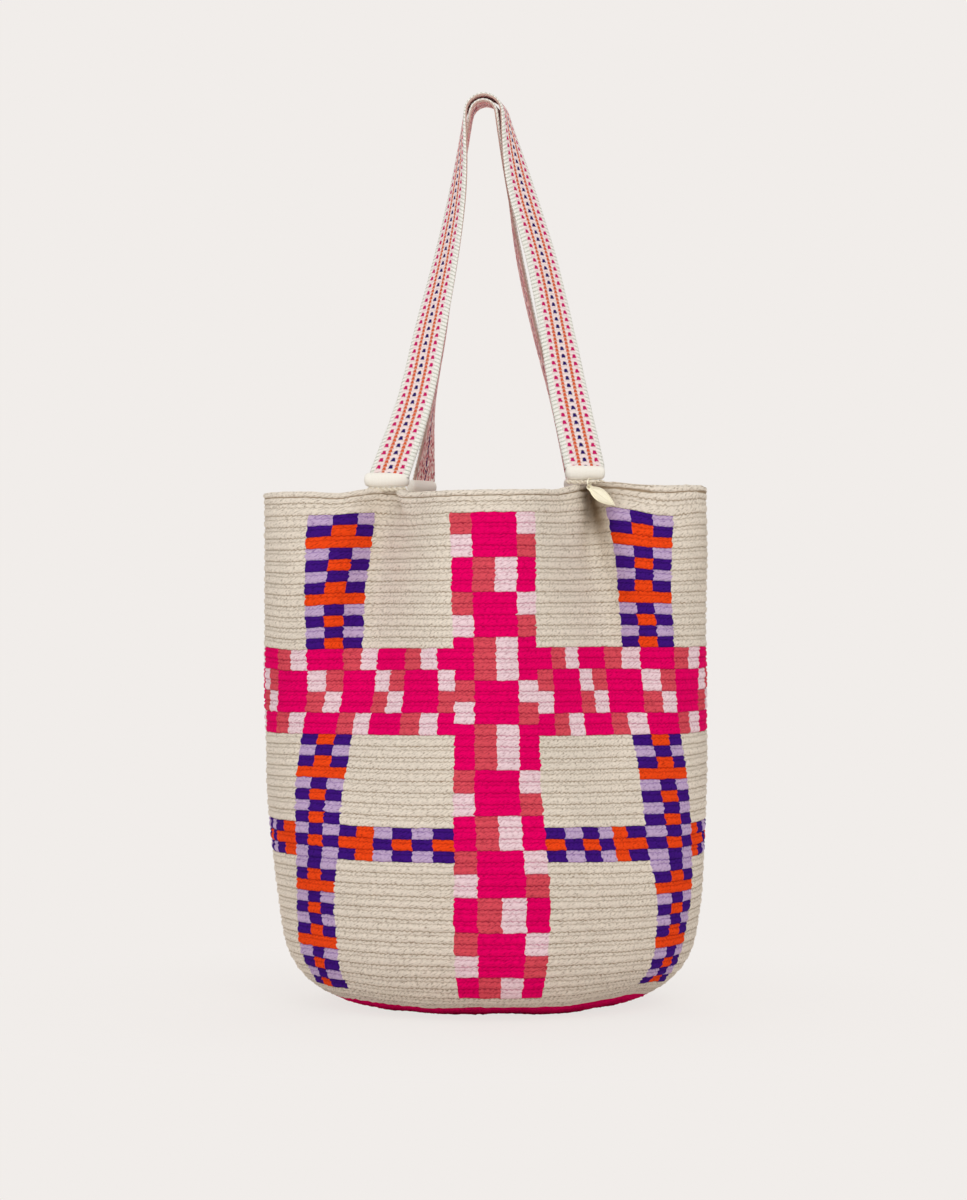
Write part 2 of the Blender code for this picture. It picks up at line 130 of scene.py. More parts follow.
def new_material(name: str) -> tuple[bpy.types.Material, bpy.types.NodeTree, bpy.types.Node]:
    """Make an empty Principled material.

    Args:
        name: The material's name.

    Returns:
        The material, its node tree and its Principled shader.
    """
    material = bpy.data.materials.new(name)
    material.use_nodes = True
    tree = material.node_tree
    return material, tree, tree.nodes["Principled BSDF"]


# Curves and shares

def mix(low: Any, high: Any, share: Any) -> Any:
    """Blend two values or arrays."""
    return low + (high - low) * share


def clamp(share: float) -> float:
    """Keep a share between 0 and 1."""
    return min(max(share, 0.0), 1.0)


def ease(share: float) -> float:
    """Return a share that starts and ends gently."""
    return share * share * (3.0 - 2.0 * share)


def between(points: Any, share: float) -> Any:
    """Return the point at a share of the way between the middle two of four, on a smooth curve.

    Args:
        points: Four evenly spaced numbers or points.
        share: How far along, from 0 to 1.

    Returns:
        The point.
    """
    p0, p1, p2, p3 = points
    return 0.5 * (2 * p1 + (p2 - p0) * share + (2 * p0 - 5 * p1 + 4 * p2 - p3) * share * share
                  + (3 * p1 - p0 - 3 * p2 + p3) * share ** 3)


def ease_through(values: tuple[float, ...], share: float) -> float:
    """Return the value at a share of the way through evenly spaced ones, with no corners.

    Args:
        values: The values in order.
        share: How far along, from 0 to 1.

    Returns:
        The eased value.
    """
    padded = (2 * values[0] - values[1], *values, 2 * values[-1] - values[-2])
    place = min(share * (len(values) - 1), len(values) - 1 - 1e-9)
    first = int(place)
    return between(padded[first:first + 4], place - first)


def columns_from(columns: np.ndarray, column: float) -> np.ndarray:
    """Return how many pattern columns lie between each of some and one, the shorter way round."""
    return (columns - column + PATTERN_COLUMNS / 2) % PATTERN_COLUMNS - PATTERN_COLUMNS / 2


# Mesh helpers

def wrap_rings(rings: np.ndarray, uv: np.ndarray, closed: bool = False,
               dress: Dress | None = None) -> bmesh.types.BMesh:
    """Make a tube through rings of points, with its ends filled unless it closes on itself.

    Args:
        rings: Points by row and column, as rows x columns x 3.
        uv: Surface coordinates by row and column, with one more column than the rings.
        closed: Whether the last ring runs on into the first.
        dress: Called with the unmerged mesh and each vertex's row and column, to add attributes.

    Returns:
        The tube.
    """
    rows, around = rings.shape[:2]
    along = rows if closed else rows - 1
    bm = bmesh.new()
    bmesh.ops.create_grid(bm, x_segments=around, y_segments=along, size=1.0)
    mesh = bpy.data.meshes.new("unmerged")
    bm.to_mesh(mesh)
    flat = np.empty(len(mesh.vertices) * 3)
    mesh.vertices.foreach_get("co", flat)
    flat = flat.reshape(-1, 3)
    column = np.rint((flat[:, 0] + 1.0) / 2.0 * around).astype(int)
    row = np.rint((flat[:, 1] + 1.0) / 2.0 * along).astype(int)
    corner = np.empty(len(mesh.loops), dtype=int)
    mesh.loops.foreach_get("vertex_index", corner)
    layer = mesh.uv_layers.new(name="worked")
    layer.data.foreach_set("uv", uv[row[corner], column[corner]].ravel())
    if dress is not None:
        dress(mesh, row, column)
    mesh.vertices.foreach_set("co", rings[row % rows, column % around].ravel())
    bm.clear()
    bm.from_mesh(mesh)
    bpy.data.meshes.remove(mesh)
    bmesh.ops.remove_doubles(bm, verts=bm.verts[:], dist=MERGE_DISTANCE)
    if not closed:
        edges = [edge for edge in bm.edges if edge.is_boundary]
        bmesh.ops.holes_fill(bm, edges=edges, sides=0)
    return bm


def add_bmesh(target: bmesh.types.BMesh, extra: bmesh.types.BMesh) -> None:
    """Append one bmesh to another and free it.

    Args:
        target: The bmesh that grows.
        extra: The one that is added to it.
    """
    mesh = bpy.data.meshes.new("appended")
    extra.to_mesh(mesh)
    extra.free()
    target.from_mesh(mesh)
    bpy.data.meshes.remove(mesh)


def finish_piece(name: str, bm: bmesh.types.BMesh, *materials: bpy.types.Material,
                 sharp: float = 180.0) -> bpy.types.Object:
    """Turn a bmesh into a shaded object at the origin with its normals outwards.

    Args:
        name: The object's name.
        bm: The finished shape, in place.
        materials: Its materials in slot order.
        sharp: The angle in degrees above which an edge looks sharp.

    Returns:
        The object.
    """
    bmesh.ops.recalc_face_normals(bm, faces=bm.faces[:])
    mesh = bpy.data.meshes.new(name)
    bm.to_mesh(mesh)
    bm.free()
    mesh.shade_smooth()
    if sharp < 180.0:
        mesh.set_sharp_from_angle(angle=math.radians(sharp))
    for material in materials:
        mesh.materials.append(material)
    item = bpy.data.objects.new(name, mesh)
    bpy.context.scene.collection.objects.link(item)
    return item


def install(piece: bpy.types.Object, body: str, node: str) -> None:
    """Ride a piece on a body in place of a CAD node, and report it.

    Args:
        piece: The finished piece.
        body: The body that it moves with.
        node: The CAD node that it stands for.
    """
    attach(piece, body)
    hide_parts(node)
    LOG.info("%s: %d faces, rides on %s", piece.name, len(piece.data.polygons), body)


def tube_along(route: np.ndarray, radius: float, around: int, closed: bool = False,
               upwards: Vector | None = None) -> bmesh.types.BMesh:
    """Sweep a round section along a route.

    Args:
        route: Its points in order, as rows x 3.
        radius: The section's radius.
        around: Points round the section.
        closed: Whether the route is a loop.
        upwards: A direction that is never along the route.

    Returns:
        The tube, with surface coordinates in millimetres along and round it.
    """
    if closed:
        along = np.roll(route, -1, axis=0) - np.roll(route, 1, axis=0)
    else:
        along = np.gradient(route, axis=0)
    along /= np.linalg.norm(along, axis=1)[:, None]
    up = np.array(upwards if upwards is not None else (0.0, 0.0, 1.0), dtype=float)
    across = np.cross(along, up)
    across /= np.linalg.norm(across, axis=1)[:, None]
    up_now = np.cross(across, along)
    turn = np.linspace(0.0, FULL_TURN, around, endpoint=False)
    rings = (route[:, None, :] + across[:, None, :] * (np.cos(turn) * radius)[None, :, None]
             + up_now[:, None, :] * (np.sin(turn) * radius)[None, :, None])
    rows = len(route) + (1 if closed else 0)
    steps = np.linalg.norm(np.diff(np.vstack([route, route[:1]]) if closed else route, axis=0), axis=1)
    length = np.concatenate([[0.0], np.cumsum(steps)])[:rows] / MM
    round_mm = np.linspace(0.0, FULL_TURN * radius / MM, around + 1)
    uv = np.stack(np.meshgrid(round_mm, length), axis=-1)
    return wrap_rings(rings, uv, closed)


# Finishes

@dataclass(frozen=True)
class Relief:
    """How deep a finish's relief looks, and how dull it is."""

    depth: float
    strength: float
    roughness: float
    specular: float

    def join(self, tree: bpy.types.NodeTree, shader: bpy.types.Node, colour: Any, height: Any) -> None:
        """Give a shader its colour, its relief and its constants.

        Args:
            tree: The material's node tree.
            shader: Its Principled shader.
            colour: The socket of its colour.
            height: The socket of its relief.
        """
        bump = add_node(tree, "ShaderNodeBump", {
            "Height": height, "Strength": self.strength, "Distance": self.depth})
        tree.links.new(colour, shader.inputs["Base Color"])
        tree.links.new(bump, shader.inputs["Normal"])
        shader.inputs["Roughness"].default_value = self.roughness
        shader.inputs["Specular IOR Level"].default_value = self.specular


@dataclass(frozen=True)
class CrochetCotton:
    """Spun cotton worked in tight rounds: matt, hairy, with wavy shadows between the rounds.

    A pair of numbers is a gain and what is added to it.
    """

    name: str = "tapestry_crochet_cotton"
    round_mm: float = 7.0               # one round, a thin cord over a broad band
    stitch_mm: float = 3.5              # width of one stitch
    stitch_lean: float = 0.30           # stitches that one leans over a round
    wave: float = 0.035                 # how far a shadow line waves, in rounds
    ragged: tuple[float, float] = (0.26, -0.13)         # how far it is ragged, in rounds
    hair_mm: float = 0.85               # width of the hairs, drawn coarse enough to show
    hair_length_mm: float = 2.8
    hair_slant: float = math.radians(24)
    fleck_per_mm: float = 0.55
    mottle_mm: float = 38.0             # size of the slow changes of tone
    shadow_fleck: tuple[float, float] = (1.6, 0.15)     # how uneven the shadow lines are
    speck_hair: tuple[float, float] = (0.47, 0.30)      # the hair at which specks begin and are full
    speck_depth: float = 0.62
    deepest: float = 0.85               # most that shows of the darker tone: painted shade and carried yarn
    hair_tone: tuple[float, float] = (0.62, 0.71)
    mottle_tone: tuple[float, float] = (0.16, 0.92)
    stitch_tone: tuple[float, float] = (0.018, 0.99)
    stitch_relief: float = 0.07
    line_relief: float = 0.35
    relief: Relief = Relief(depth=0.9 * MM, strength=0.6, roughness=0.95, specular=0.03)
    # Shadow over one round from its top, as place and depth
    shadows: tuple[tuple[float, float], ...] = (
        (0.0, 0.95), (0.04, 0.42), (0.08, 0.04), (0.26, 0.0), (0.31, 0.38), (0.34, 0.56),
        (0.385, 0.14), (0.48, 0.05), (0.89, 0.05), (0.96, 0.42), (1.0, 0.95))

    def shadow_lines(self, tree: bpy.types.NodeTree, rounds: Any) -> bpy.types.NodeSocket:
        """Return the shadow at a share of each round.

        Args:
            tree: The node tree.
            rounds: The socket that runs from 0 to 1 over each round.

        Returns:
            The shadow's depth.
        """
        lines = add_node(tree, "ShaderNodeValToRGB", (rounds,))
        ramp = lines.node.color_ramp
        for index, (where, depth) in enumerate(self.shadows):
            stop = ramp.elements[index] if index < 2 else ramp.elements.new(where)
            stop.position = where
            stop.color = (depth, depth, depth, 1.0)
        return lines

    def material(self) -> bpy.types.Material:
        """Build the crochet from the mesh's dyes, its painted groove shade and surface coordinates in
        millimetres.

        Returns:
            The material.
        """
        material, tree, shader = new_material(self.name)
        dye, carried_yarn_and_shade = (add_node(tree, "ShaderNodeAttribute", out="Color", attribute_name=name)
                        for name in ("dye", "carried_yarn_and_shade"))
        groove_shade = add_node(tree, "ShaderNodeAttribute", out="Fac", attribute_name="groove_shade")
        surface = add_node(tree, "ShaderNodeUVMap", uv_map="worked")
        place = add_node(tree, "ShaderNodeTexCoord", out="Object")
        across, down = add_node(tree, "ShaderNodeSeparateXYZ", (surface,)).node.outputs[:2]
        slanted = add_node(tree, MAPPING, {"Vector": surface, "Rotation": (0.0, 0.0, self.hair_slant)})
        stroke = add_node(tree, MAPPING, {
            "Vector": slanted, "Scale": (1.0 / self.hair_length_mm, 1.0 / self.hair_mm, 1.0)})
        hair = add_node(tree, NOISE, {"Vector": stroke, "Scale": 1.0, "Detail": 2.0, "Roughness": 0.6})
        fleck = add_node(tree, NOISE, {
            "Vector": surface, "Scale": self.fleck_per_mm, "Detail": 3.0, "Roughness": 0.75})
        mottle = add_node(tree, NOISE, {
            "Vector": place, "Scale": 1.0 / (self.mottle_mm * MM), "Detail": 2.0, "Roughness": 0.5})

        leaning = FULL_TURN * self.stitch_lean / self.round_mm
        lean = add_node(tree, MATH, (down, leaning), operation="MULTIPLY")
        stitch = add_node(tree, MATH, (across, FULL_TURN / self.stitch_mm, lean), operation="MULTIPLY_ADD")
        stitch = add_node(tree, MATH, (stitch,), operation="SINE")
        wavy = add_node(tree, MATH, (fleck, *self.ragged), operation="MULTIPLY_ADD")
        wavy = add_node(tree, MATH, (stitch, self.wave, wavy), operation="MULTIPLY_ADD")
        rounds = add_node(tree, MATH, (down, 1.0 / self.round_mm, wavy), operation="MULTIPLY_ADD")
        lines = self.shadow_lines(tree, add_node(tree, MATH, (rounds,), operation="FRACT"))

        uneven = add_node(tree, MATH, (fleck, *self.shadow_fleck), operation="MULTIPLY_ADD")
        lined = add_node(tree, MATH, (groove_shade, 1.0), operation="ADD", use_clamp=True)
        shadow = add_node(tree, MATH, (lines, uneven), operation="MULTIPLY")
        shadow = add_node(tree, MATH, (shadow, lined), operation="MULTIPLY")
        specks = add_node(tree, "ShaderNodeMapRange", {
            "Value": hair, "From Min": self.speck_hair[0], "From Max": self.speck_hair[1],
            "To Min": 0.0, "To Max": self.speck_depth}, interpolation_type="SMOOTHSTEP")
        # Painted shade where the groove shade passes 1: in folds and under the bead
        fold_shade = add_node(tree, MATH, (groove_shade, 1.0), operation="SUBTRACT")
        # The darker share: painted shadow lines and painted fold shade, with the real specks of carried
        # yarn
        for darker in (specks, fold_shade):
            shadow = add_node(tree, MATH, (shadow, darker), operation="MAXIMUM")
        shadow = add_node(tree, MATH, (shadow, self.deepest), operation="MINIMUM")
        shaded = add_node(tree, COLOUR_MIX, {SHARE: shadow, UNDER: dye, OVER: carried_yarn_and_shade}, MIXED,
                          data_type="RGBA")
        tones = [add_node(tree, MATH, (source, *gain), operation="MULTIPLY_ADD") for source, gain in (
            (hair, self.hair_tone), (mottle, self.mottle_tone), (stitch, self.stitch_tone))]
        tone = tones[0]
        for other in tones[1:]:
            tone = add_node(tree, MATH, (tone, other), operation="MULTIPLY")
        toned = add_node(tree, "ShaderNodeVectorMath", {0: shaded, "Scale": tone}, operation="SCALE")

        height = add_node(tree, MATH, (stitch, self.stitch_relief, hair), operation="MULTIPLY_ADD")
        height = add_node(tree, MATH, (lines, -self.line_relief, height), operation="MULTIPLY_ADD")
        self.relief.join(tree, shader, toned, height)
        return material


@dataclass(frozen=True)
class WovenWebbing:
    """Warp-patterned cotton band: white selvedges, five columns of coloured floats, ribbed across.

    A pair of numbers is a gain and what is added to it.
    """

    name: str = "warp_patterned_cotton_band"
    ground: str = "#F6E2E2"
    selvedge: str = "#F6F4EE"
    selvedge_shadow: str = "#C2C6B6"
    dot: str = "#C81464"
    dash: str = "#D65A30"
    dash_gap: str = "#E2A48C"
    centre: str = "#2E1464"
    column_mm: float = 3.75             # from one column of floats to the next
    row_mm: float = 4.95                # from one dot to the next
    dot_wide_mm: float = 2.3
    dot_long_mm: float = 2.5
    dash_wide_mm: float = 2.0
    dash_share: float = 0.34            # of a row that a dash is long
    band_columns: float = 2.55          # half the patterned field's width, in columns
    band_soft_mm: float = 0.6
    rib_mm: float = 2.45                # from one crosswise rib to the next
    rib_half: float = 0.34              # half a rib's width and its soft edge, as shares of that
    rib_soft: float = 0.16
    rib_slant: float = 0.35
    taper: float = 0.28                 # how much narrower a dot's upper end is
    soft_mm: float = 0.30               # how far the floats' ends fade
    soft_side_mm: float = 0.28
    ragged_per_mm: float = 1.1
    ragged_across: tuple[float, float] = (1.1, -0.55)
    ragged_along: tuple[float, float] = (-1.2, 0.6)
    edge_rib: float = 0.75
    edge_ragged: tuple[float, float] = (0.8, -0.15)
    ground_rib: tuple[float, float] = (0.28, 0.72)
    tone: tuple[float, float] = (0.36, 0.82)
    ragged_relief: float = 0.8
    relief: Relief = Relief(depth=0.5 * MM, strength=0.7, roughness=0.92, specular=0.08)

    def inside(self, tree: bpy.types.NodeTree, value: Any, half: float,
               soft: float) -> bpy.types.NodeSocket:
        """Return 1 where a value lies within half of zero, with a soft edge.

        Args:
            tree: The node tree.
            value: The socket to test.
            half: Half the width of the field.
            soft: How far its edge fades.

        Returns:
            The mask socket.
        """
        size = add_node(tree, MATH, (value,), operation="ABSOLUTE")
        return add_node(tree, "ShaderNodeMapRange", {
            "Value": size, "From Min": half - soft, "From Max": half + soft, "To Min": 1.0, "To Max": 0.0},
            interpolation_type="SMOOTHSTEP")

    def tapered(self, tree: bpy.types.NodeTree, away: Any, rows: Any, wide: float) -> bpy.types.NodeSocket:
        """Return 1 inside a column of floats that narrow towards their upper ends.

        Args:
            tree: The node tree.
            away: The distance from the column's middle.
            rows: The distance from the middle of the nearest float.
            wide: The column's width.

        Returns:
            The mask socket.
        """
        size = add_node(tree, MATH, (away,), operation="ABSOLUTE")
        size = add_node(tree, MATH, (rows, self.taper, size), operation="MULTIPLY_ADD")
        return self.inside(tree, size, wide / 2.0, self.soft_side_mm)

    def repeat(self, tree: bpy.types.NodeTree, value: Any, pitch: float,
               phase: float = 0.0) -> bpy.types.NodeSocket:
        """Return the distance from the nearest of many even places.

        Args:
            tree: The node tree.
            value: The socket that runs along.
            pitch: The distance between places.
            phase: How far the places are moved.

        Returns:
            The signed distance.
        """
        moved = add_node(tree, MATH, (value, phase), operation="ADD")
        return add_node(tree, MATH, (moved, pitch / 2.0, -pitch / 2.0), operation="WRAP")

    def material(self) -> bpy.types.Material:
        """Build the patterned face from surface coordinates in millimetres.

        Returns:
            The material.
        """
        material, tree, shader = new_material(self.name)
        surface = add_node(tree, "ShaderNodeUVMap", uv_map="worked")
        ragged = add_node(tree, NOISE, {
            "Vector": surface, "Scale": self.ragged_per_mm, "Detail": 2.0, "Roughness": 0.6})
        u, v = add_node(tree, "ShaderNodeSeparateXYZ", (surface,)).node.outputs[:2]
        across, along = (add_node(tree, MATH, (
            straight, add_node(tree, MATH, (ragged, *gain), operation="MULTIPLY_ADD")), operation="ADD")
            for straight, gain in ((u, self.ragged_across), (v, self.ragged_along)))
        rows = self.repeat(tree, along, self.row_mm)
        half_rows = self.repeat(tree, along, self.row_mm / 2.0, self.row_mm / 4.0)
        dot_rows = self.inside(tree, rows, self.dot_long_mm / 2.0, self.soft_mm)
        dash_rows = self.inside(tree, half_rows, self.row_mm * self.dash_share / 2.0, self.soft_mm)
        size = add_node(tree, MATH, (across,), operation="ABSOLUTE")
        from_dots, from_dashes = (add_node(tree, MATH, (size, place), operation="SUBTRACT")
                                  for place in (2.0 * self.column_mm, self.column_mm))
        dots, centres = (add_node(tree, MATH, (
            dot_rows, self.tapered(tree, away, rows, self.dot_wide_mm)), operation="MULTIPLY")
            for away in (from_dots, across))
        dashes = self.tapered(tree, from_dashes, half_rows, self.dash_wide_mm)
        band = self.inside(tree, across, self.band_columns * self.column_mm, self.band_soft_mm)
        ribs = add_node(tree, MATH, (size, self.rib_slant, v), operation="MULTIPLY_ADD")
        rib = self.inside(tree, self.repeat(tree, ribs, self.rib_mm), self.rib_mm * self.rib_half,
                          self.rib_mm * self.rib_soft)

        edge_light = add_node(tree, MATH, (ragged, *self.edge_ragged), operation="MULTIPLY_ADD")
        edge_light = add_node(tree, MATH, (rib, self.edge_rib, edge_light), operation="MULTIPLY_ADD")
        ground_light = add_node(tree, MATH, (rib, *self.ground_rib), operation="MULTIPLY_ADD")
        edge, ground, dash = (
            add_node(tree, COLOUR_MIX, {SHARE: share, UNDER: linear(under), OVER: linear(over)}, MIXED,
                     data_type="RGBA")
            for share, under, over in ((edge_light, self.selvedge_shadow, self.selvedge),
                                       (ground_light, self.selvedge_shadow, self.ground),
                                       (dash_rows, self.dash_gap, self.dash)))
        colour = edge
        for share, over in ((band, ground), (dots, linear(self.dot)), (dashes, dash),
                            (centres, linear(self.centre))):
            colour = add_node(tree, COLOUR_MIX, {SHARE: share, UNDER: colour, OVER: over}, MIXED,
                              data_type="RGBA")
        tone = add_node(tree, MATH, (ragged, *self.tone), operation="MULTIPLY_ADD")
        toned = add_node(tree, "ShaderNodeVectorMath", {0: colour, "Scale": tone}, operation="SCALE")
        height = add_node(tree, MATH, (ragged, self.ragged_relief, rib), operation="MULTIPLY_ADD")
        self.relief.join(tree, shader, toned, height)
        return material


@dataclass(frozen=True)
class WebbingReverse:
    """The band's reverse: short floats of every warp colour, white flecks, a dark dotted middle and painted
    shade along its edges.
    """

    name: str = "cotton_band_reverse"
    pink: str = "#EEB4B2"
    red: str = "#BC5E68"
    cream: str = "#FFF4EE"
    middle: str = "#4A2060"
    # Painted shade: the reverse darkens towards this tan along the band's two edges
    edge: str = "#C4AC9E"
    float_mm: float = 1.9
    float_wide_mm: float = 0.95
    float_slant: float = math.radians(20)
    middle_mm: float = 1.3
    edge_from_mm: float = 11.3
    edge_share: float = 0.8
    # The pick above which a float is cream, red or, in the middle, dark
    picks: tuple[float, float, float] = (0.66, 0.72, 0.42)
    relief: Relief = Relief(depth=0.4 * MM, strength=0.5, roughness=0.92, specular=0.08)

    def material(self) -> bpy.types.Material:
        """Build the mixed weave from surface coordinates in millimetres.

        Returns:
            The material.
        """
        material, tree, shader = new_material(self.name)
        surface = add_node(tree, "ShaderNodeUVMap", uv_map="worked")
        across = add_node(tree, "ShaderNodeSeparateXYZ", (surface,))
        away = add_node(tree, MATH, (across,), operation="ABSOLUTE")
        stretched = add_node(tree, MAPPING, {
            "Vector": surface, "Rotation": (0.0, 0.0, self.float_slant),
            "Scale": (1.0 / self.float_wide_mm, 1.0 / self.float_mm, 1.0)})
        cells = add_node(tree, "ShaderNodeTexVoronoi", {
            "Vector": stretched, "Scale": 1.0, "Randomness": 0.7}, "Color")
        drawn = add_node(tree, "ShaderNodeSeparateXYZ", (cells,)).node.outputs
        cream, red, dark = (add_node(tree, MATH, (value, pick), operation="GREATER_THAN")
                            for value, pick in zip(drawn, self.picks))
        inner = add_node(tree, MATH, (away, self.middle_mm), operation="LESS_THAN")
        # Painted shade along the band's edges
        outside = add_node(tree, MATH, (away, self.edge_from_mm), operation="GREATER_THAN")
        dotted = add_node(tree, MATH, (inner, dark), operation="MULTIPLY")
        edge_shade = add_node(tree, MATH, (outside, self.edge_share), operation="MULTIPLY")
        colour = linear(self.pink)
        for share, over in ((cream, self.cream), (red, self.red), (dotted, self.middle),
                            (edge_shade, self.edge)):
            colour = add_node(tree, COLOUR_MIX, {SHARE: share, UNDER: colour, OVER: linear(over)}, MIXED,
                              data_type="RGBA")
        self.relief.join(tree, shader, colour, cells.node.outputs["Distance"])
        return material


@dataclass(frozen=True)
class SoftCottonYarn:
    """Soft spun cotton, wound or twisted: pale cream, matt, with fine plies, painted lighter on their
    crests and with painted shade between them.
    """

    name: str
    colour: str = "#FFFDF6"
    shadow: str = "#D4CAB6"
    ply_mm: float = 0.9
    ply_slant: float = 0.0
    ply_depth: float = 0.25
    fuzz_per_mm: float = 1.4
    fuzz_share: float = 0.35
    relief: Relief = Relief(depth=0.3 * MM, strength=0.45, roughness=0.9, specular=0.1)

    def material(self) -> bpy.types.Material:
        """Build the yarn from surface coordinates in millimetres.

        Returns:
            The material.
        """
        material, tree, shader = new_material(self.name)
        surface = add_node(tree, "ShaderNodeUVMap", uv_map="worked")
        turned = add_node(tree, MAPPING, {"Vector": surface, "Rotation": (0.0, 0.0, self.ply_slant)})
        across = add_node(tree, "ShaderNodeSeparateXYZ", (turned,), 1)
        ply = add_node(tree, MATH, (across, FULL_TURN / self.ply_mm), operation="MULTIPLY")
        ply = add_node(tree, MATH, (ply,), operation="SINE")
        fuzz = add_node(tree, NOISE, {
            "Vector": surface, "Scale": self.fuzz_per_mm, "Detail": 3.0, "Roughness": 0.65})
        half = self.ply_depth / 2.0
        # Painted shade between the plies, with random fuzz tone
        share = add_node(tree, MATH, (ply, half, half), operation="MULTIPLY_ADD")
        share = add_node(tree, MATH, (fuzz, self.fuzz_share, share), operation="MULTIPLY_ADD")
        colour = add_node(tree, COLOUR_MIX, {
            SHARE: share, UNDER: linear(self.colour), OVER: linear(self.shadow)}, MIXED, data_type="RGBA")
        height = add_node(tree, MATH, (ply, self.ply_depth, fuzz), operation="MULTIPLY_ADD")
        self.relief.join(tree, shader, colour, height)
        return material


@dataclass(frozen=True)
class PaleGold:
    """Thin pale-gold plate over pressed brass: soft sheen with faint handling marks."""

    name: str = "pale_gold_plate"
    colour: str = "#F1ECD6"
    mark_mm: float = 1.2
    roughness: tuple[float, float] = (0.20, 0.30)       # how much the marks add, and the least

    def material(self) -> bpy.types.Material:
        """Build the plated metal on object coordinates.

        Returns:
            The material.
        """
        material, tree, shader = new_material(self.name)
        place = add_node(tree, "ShaderNodeTexCoord", out="Object")
        marks = add_node(tree, NOISE, {
            "Vector": place, "Scale": 1.0 / (self.mark_mm * MM), "Detail": 3.0})
        rough = add_node(tree, MATH, (marks, *self.roughness), operation="MULTIPLY_ADD")
        tree.links.new(rough, shader.inputs["Roughness"])
        shader.inputs["Base Color"].default_value = linear(self.colour)
        shader.inputs["Metallic"].default_value = 1.0
        return material


# The pattern

class Plaid:
    """The worked check: upright pink and purple bars, a pink band and a purple band."""

    BLOCK_HIGH = ("CMMW", "WMMC")               # two pitches each, left to right
    BLOCK_CROSS = "MCWM"
    CROSS_PITCHES = (3, 4, 4, 3, 3, 2)          # heights of the crossing blocks down the bar
    PINK_BAND = range(12, 20)
    PINK_BAND_CELLS = ("MCWM", "CMMC", "WMMW", "MWCM")   # each from the top down, two pitches a letter
    PURPLE_BAND = range(28, 31)
    PURPLE_CELLS = {"a": "POP", "b": "LPL", "c": "OOO"}
    PURPLE_BAND_OUTWARDS = "ababcababcabab"      # from beside the pink bar to the middle of the side
    BAR_TOP = "bacbabacbaba"
    BAR_MIDDLE = "abacbaba"
    BAR_CROSSING = "bab"
    LAST = 43
    BASE_RING = range(45, 49)
    PINK_HALF = 2                               # columns of the pink bar on each side of its middle
    PURPLE_BAR = range(8, 11)                   # its columns, outwards from the pink bar's middle

    DYES = {"C": Dye.CORAL, "M": Dye.MAGENTA, "W": Dye.BLUSH,
            "P": Dye.PURPLE, "O": Dye.ORANGE, "L": Dye.LILAC}

    def pink_bar(self, cell: int, pitch: int) -> Dye:
        """Return the dye of one of the pink bar's four cells.

        Args:
            cell: 0 to 3 from left to right.
            pitch: The pitch from the pattern's top.

        Returns:
            The dye.
        """
        top = 0
        for cross in self.CROSS_PITCHES:
            for block, height in zip((*self.BLOCK_HIGH, self.BLOCK_CROSS), (2, 2, cross)):
                if pitch < top + height:
                    return self.DYES[block[cell]]
                top += height
        return Dye.CREAM

    def purple_bar(self, cell: int, pitch: int) -> Dye:
        """Return the dye of one of a purple bar's three cells.

        Args:
            cell: 0 to 2 outwards from the pink bar.
            pitch: The pitch from the pattern's top.

        Returns:
            The dye.
        """
        if pitch < self.PINK_BAND.start:
            kind = self.BAR_TOP[pitch]
        elif pitch < self.PURPLE_BAND.start:
            kind = self.BAR_MIDDLE[pitch - self.PINK_BAND.stop]
        elif pitch in self.PURPLE_BAND:
            kind = self.BAR_CROSSING[pitch - self.PURPLE_BAND.start]
        else:
            kind = self.BAR_TOP[pitch - self.PURPLE_BAND.stop]
        return self.DYES[self.PURPLE_CELLS[kind][cell]]

    def dye(self, column: int, pitch: int) -> Dye:
        """Return the dye of one cell of the wall.

        Args:
            column: The pattern column, from the front centre round by +X.
            pitch: The pitch from the pattern's top, negative above it.

        Returns:
            The dye.
        """
        if pitch in self.BASE_RING:
            return Dye.MAGENTA
        if not 0 <= pitch < self.LAST:
            return Dye.CREAM
        half = PATTERN_COLUMNS // 2
        place = (column + self.PINK_HALF) % half - self.PINK_HALF
        if place < self.PINK_HALF:
            return self.pink_bar(place + self.PINK_HALF, pitch)
        if pitch in self.PINK_BAND:
            cells = self.PINK_BAND_CELLS[(place - self.PINK_HALF) % len(self.PINK_BAND_CELLS)]
            return self.DYES[cells[(pitch - self.PINK_BAND.start) // 2]]
        outwards = min(place, half - 1 - place)
        if outwards in self.PURPLE_BAR:
            return self.purple_bar(outwards - self.PURPLE_BAR.start, pitch)
        if pitch in self.PURPLE_BAND:
            kind = self.PURPLE_BAND_OUTWARDS[outwards - self.PINK_HALF]
            return self.DYES[self.PURPLE_CELLS[kind][pitch - self.PURPLE_BAND.start]]
        return Dye.CREAM


# The shape of the bag

